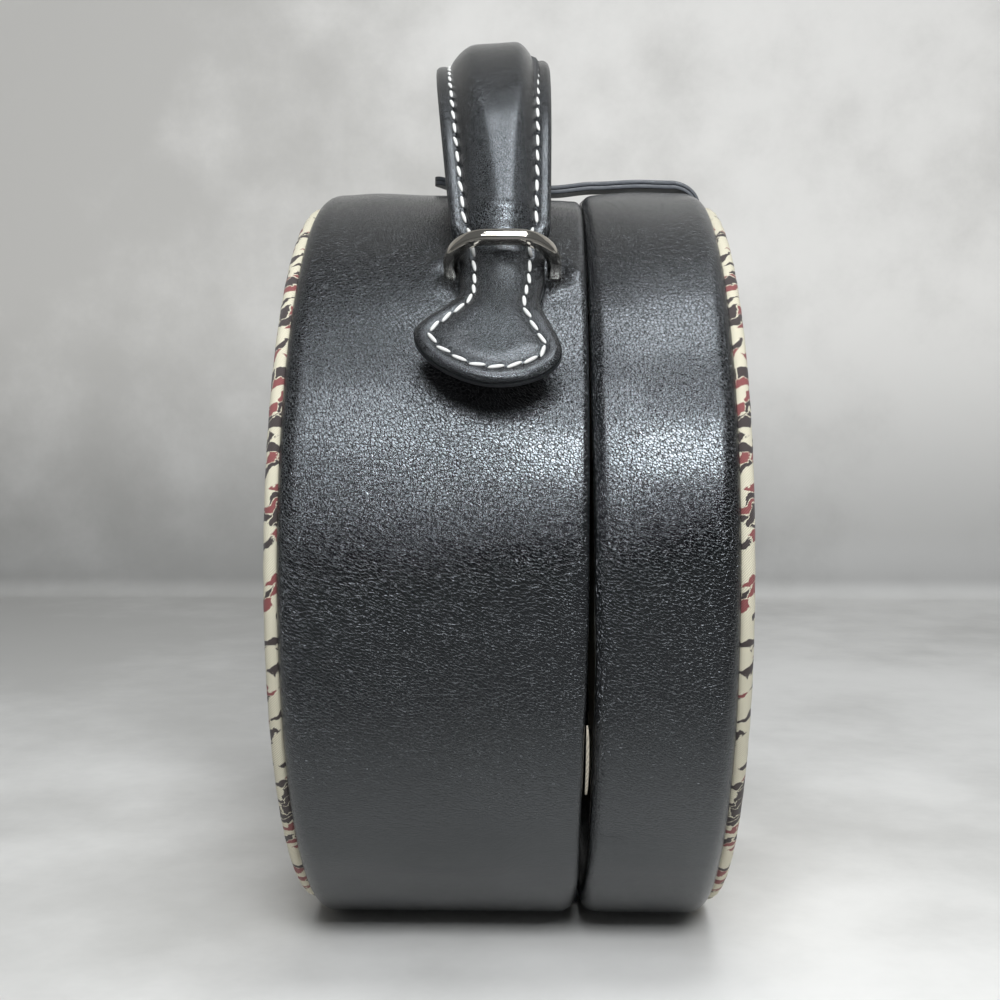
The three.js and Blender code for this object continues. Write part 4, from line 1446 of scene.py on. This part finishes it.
def stud_outline(low, high):
    radius = high.y
    stem = [(0, low.z), (SNAP_STEM, low.z), (SNAP_STEM, high.z - STUD_DISC)]
    rim = [(radius, high.z - STUD_DISC), (radius, high.z - 0.35), (radius - 0.12, high.z - 0.1)]
    ring = [(radius - 0.4, high.z), (0.6 * radius, high.z)]
    return stem + rim + ring + [(0.6 * radius - 0.3, high.z - STUD_HOLLOW), (0, high.z - STUD_HOLLOW)]


def cap_outline(low, high):
    radius = high.y
    hollow = [(0, low.z + CAP_HOLLOW), (0.55 * radius, low.z + CAP_HOLLOW), (0.55 * radius + 0.3, low.z)]
    return hollow + [(radius - 0.4, low.z), (radius, low.z + 0.35), (radius, high.z), (0, high.z)]


stud_low, stud_high = node_box("magnet_base")
snap_x = 0.5 * (stud_low.x + stud_high.x)
stud = turn_upright("snap_stud", stud_outline(stud_low, stud_high), snap_x)
dress(stud, nickel, "plating", "case", "magnet_base")
cap = turn_upright("snap_cap", cap_outline(*node_box("magnet_cap")), snap_x)
dress(cap, nickel, "plating", "closure", "magnet_cap")

# %% [markdown]
# ## Hinge strip
# Lid and body are joined by one strip of leather, glued to both rims and folded between them at the base.
# It is a slab bent round a small fold.

# %% Hinge strip
STRIP_HALF_THICKNESS = 0.25
leaf_low, leaf_high = node_box("hinge_leaf_body")
_, far_high = node_box("hinge_leaf_lid")
FOLD_X = 0.5 * (leaf_low.x + far_high.x)
FOLD_HALF = 0.5 * (far_high.x - leaf_low.x) - STRIP_HALF_THICKNESS
FOLD_Z = leaf_low.z + FOLD_HALF
LEAF_TOP = leaf_high.z


def strip_rule(places):
    column, row, top = unit(places)
    half_fold = FOLD_HALF * math.pi / 2
    travel = row * (LEAF_TOP - FOLD_Z + half_fold)
    turn = np.clip(travel / half_fold, -1, 1) * math.pi / 2
    up = np.maximum(np.abs(travel) - half_fold, 0)
    reach = FOLD_HALF + np.where(top, 1, -1) * STRIP_HALF_THICKNESS
    x = FOLD_X + reach * np.sin(turn)
    return np.stack([x, column * leaf_high.y, FOLD_Z - reach * np.cos(turn) + up], -1)


strip = slab("hinge_strip", 40, 36, strip_rule)
dress(strip, handle_leather, "leather", None, "hinge_leaf_body", "hinge_leaf_lid")
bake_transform(strip)

# %% [markdown]
# The seam gapes low on the near side, and a sliver of the lining's edge shows in it. It is a slab bent
# along the rim, which narrows to both ends.

# %% Lining in the seam
PEEK_MIDDLE = math.radians(23.5)
PEEK_HALF = math.radians(5.5)
PEEK_RADIUS = 112.8
PEEK_DEPTH = 1.6
PEEK_X = 20.35
PEEK_WIDTH = 0.8
PEEK_SINK = 1.2


def peek_rule(places):
    column, row, top = unit(places)
    angle = PEEK_MIDDLE + PEEK_HALF * row
    narrow = np.sqrt(np.maximum(1 - row**2, 0.02))
    radius = PEEK_RADIUS - PEEK_SINK * (1 - narrow) - np.where(top, 0.0, PEEK_DEPTH)
    across = 0.5 * PEEK_WIDTH * np.where(column > 0, column * narrow, column)
    return np.stack([PEEK_X + across, -radius * np.cos(angle), CENTRE_Z - radius * np.sin(angle)], -1)


peek = slab("seam_lining", 4, 40, peek_rule)
dress(peek, lining_cloth, "lining", "case")

# %% [markdown]
# ## Pieces that stay as they are
# The fibreboard hoops and discs, the filler and the steel plates are right as they come from the frame
# and are shut inside the case. They only need their finish.

# %% Finishes of the inner pieces
INNER_FINISHES = {
    "body_frame": fibreboard,
    "lid_frame": fibreboard,
    "back_board": fibreboard,
    "front_board": fibreboard,
    "loop_plate_near": plate_steel,
    "loop_plate_far": plate_steel,
    "magnet_washer": plate_steel,
    "handle_core": felt_filler,
}
for node, finish in INNER_FINISHES.items():
    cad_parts[node].data.materials.clear()
    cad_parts[node].data.materials.append(finish)
print("inner pieces finished:", len(INNER_FINISHES))

# %% [markdown]
# ## Camera
# The photograph looks at the wall from in front and slightly above, from less than half a metre, so the
# near wall looks wider than the rim. The lens and the place were worked out from the drum's outline in a
# square picture.

# %% Camera
CAMERA_PLACE = Vector((5.3, -448.0, 159.0))
CAMERA_DOWN = math.radians(4.0)
CAMERA_TURN = math.radians(1.25)
SENSOR = 36.0
LENS = 48.8

bpy.ops.object.camera_add(
    location=CAMERA_PLACE * MM,
    rotation=(math.radians(90) - CAMERA_DOWN, 0, CAMERA_TURN),
)
camera = bpy.context.object
camera.data.sensor_width = SENSOR
camera.data.sensor_height = SENSOR
camera.data.sensor_fit = "AUTO"
camera.data.lens = LENS
camera.data.clip_start = 0.01
bpy.context.scene.camera = camera
print("camera at", tuple(camera.location))

# %% [markdown]
# ## Floor and light
# A pale grey sweep is the floor and the backdrop, and light is painted on it. The floor is painted
# lighter to the right, where more light falls, and the backdrop's colour is painted darker than the
# floor's, as shade. The backdrop stands far from the lamps, so it shows the camera and the shiny surfaces
# a little light of its own, which grows with the height and never reaches the case as light. The floor is
# painted dark towards the viewer, as shade, so that the lower wall, which mirrors it, stays dark. A soft
# lamp in front of the case makes the shine halfway up the wall, a weaker one to its left carries it on,
# one above makes the shine near the top, and an even grey surround fills the rest.

# %% Floor
FLOOR_HALF = 3000.0
SWEEP_Y = 655.0
SWEEP_ROUND = 50.0
SWEEP_TOP = 2600.0
FLOOR_DARK = (0.58, 0.57, 0.545, 1)
FLOOR_LIGHT = (0.84, 0.828, 0.8, 1)
FLOOR_NEAR_SHADE = (0.12, 0.118, 0.115, 1)
NEAR_SHADE_FALL = (-0.22, -0.1)
BLACK = (0, 0, 0, 1)
BACKDROP_SHADE = 0.38
BACKDROP_GLOW = 0.66


def make_floor_material():
    material, tree, shader = new_material("pale_floor")
    place = object_coords(tree)
    axes = add_node(tree, "ShaderNodeSeparateXYZ", {0: place}).outputs
    cloud = noise(tree, place, 3.2, 3.0, 0.6)["Fac"]
    spots = noise(tree, place, 14.0, 5.0, 0.65)["Fac"]
    # Painted light: the floor is painted lighter to the right, where more light falls.
    painted_side_light = ramp(tree, axes["X"], -0.5, 0.5, -0.2, 0.18)
    blotch_and_side_light = calc(tree, "ADD", weighted(tree, (cloud, 1.0), (spots, 0.5)), painted_side_light)
    pale = mix_colour(tree, ramp(tree, blotch_and_side_light, 0.5, 1.0), FLOOR_DARK, FLOOR_LIGHT)
    # Painted shade: the backdrop above the floor is painted darker than the floor.
    backdrop_shaded = mix_colour(tree, ramp(tree, axes["Z"], 0.0, 0.015, 0.0, BACKDROP_SHADE), pale, BLACK)
    # Painted shade: the floor is painted dark towards the viewer, so the lower wall mirrors a dark floor.
    colour = mix_colour(tree, ramp(tree, axes["Y"], *NEAR_SHADE_FALL), FLOOR_NEAR_SHADE, backdrop_shaded)
    feed(tree, shader["Base Color"], colour)
    feed(tree, shader["Roughness"], ramp(tree, blotch_and_side_light, 0.5, 1.0, 0.75, 0.6))
    rays = add_node(tree, "ShaderNodeLightPath").outputs
    shown = calc(tree, "MAXIMUM", rays["Is Camera Ray"], rays["Is Glossy Ray"])
    shown = calc(tree, "MAXIMUM", shown, rays["Is Transmission Ray"])
    glow = ramp(tree, axes["Z"], 0.0, 0.27, 0.0, BACKDROP_GLOW)
    feed(tree, shader["Emission Color"], colour)
    feed(tree, shader["Emission Strength"], calc(tree, "MULTIPLY", shown, glow))
    return material


def make_floor():
    points = [(-FLOOR_HALF, -FLOOR_HALF, 0)]
    for a in quarter(12):
        y = SWEEP_Y + SWEEP_ROUND * math.sin(a)
        points.append((-FLOOR_HALF, y, SWEEP_ROUND * (1 - math.cos(a))))
    points.append((-FLOOR_HALF, SWEEP_Y + SWEEP_ROUND, SWEEP_TOP))
    piece = draw_line("floor_sweep", points)
    bpy.ops.mesh.extrude_edges_move(TRANSFORM_OT_translate={"value": (2 * FLOOR_HALF * MM, 0, 0)})
    bpy.ops.object.mode_set(mode="OBJECT")
    bpy.ops.object.shade_smooth()
    piece.data.materials.append(make_floor_material())
    return piece


floor = make_floor()
print("floor of", len(floor.data.polygons), "faces")

# %% Lights
LAMP_COLOUR = (0.94, 0.97, 1.0)
WORLD_COLOUR = (0.8, 0.82, 0.84, 1)
WORLD_STRENGTH = 0.18


def soft_lamp(name, place, target, width, height, power):
    aim = Vector(target) - Vector(place)
    facing = aim.to_track_quat("-Z", "Y").to_euler()
    bpy.ops.object.light_add(type="AREA", location=Vector(place) * MM, rotation=facing)
    lamp = bpy.context.object
    lamp.name = name
    lamp.data.shape = "RECTANGLE"
    lamp.data.size = width * MM
    lamp.data.size_y = height * MM
    lamp.data.energy = power
    lamp.data.color = LAMP_COLOUR


soft_lamp("front_softbox", (135, -850, 675), (40, -105, 150), width=340, height=240, power=7.2)
soft_lamp("left_softbox", (-100, -735, 800), (-20, -103, 158), width=250, height=330, power=2.6)
soft_lamp("top_softbox", (110, -305, 1060), (40, -93, 179), width=400, height=340, power=4.7)

world = bpy.data.worlds.new("grey_surround")
world.use_nodes = True
surround = world.node_tree.nodes["Background"].inputs
surround["Color"].default_value = WORLD_COLOUR
surround["Strength"].default_value = WORLD_STRENGTH
bpy.context.scene.world = world
bpy.context.scene.view_settings.view_transform = "Standard"
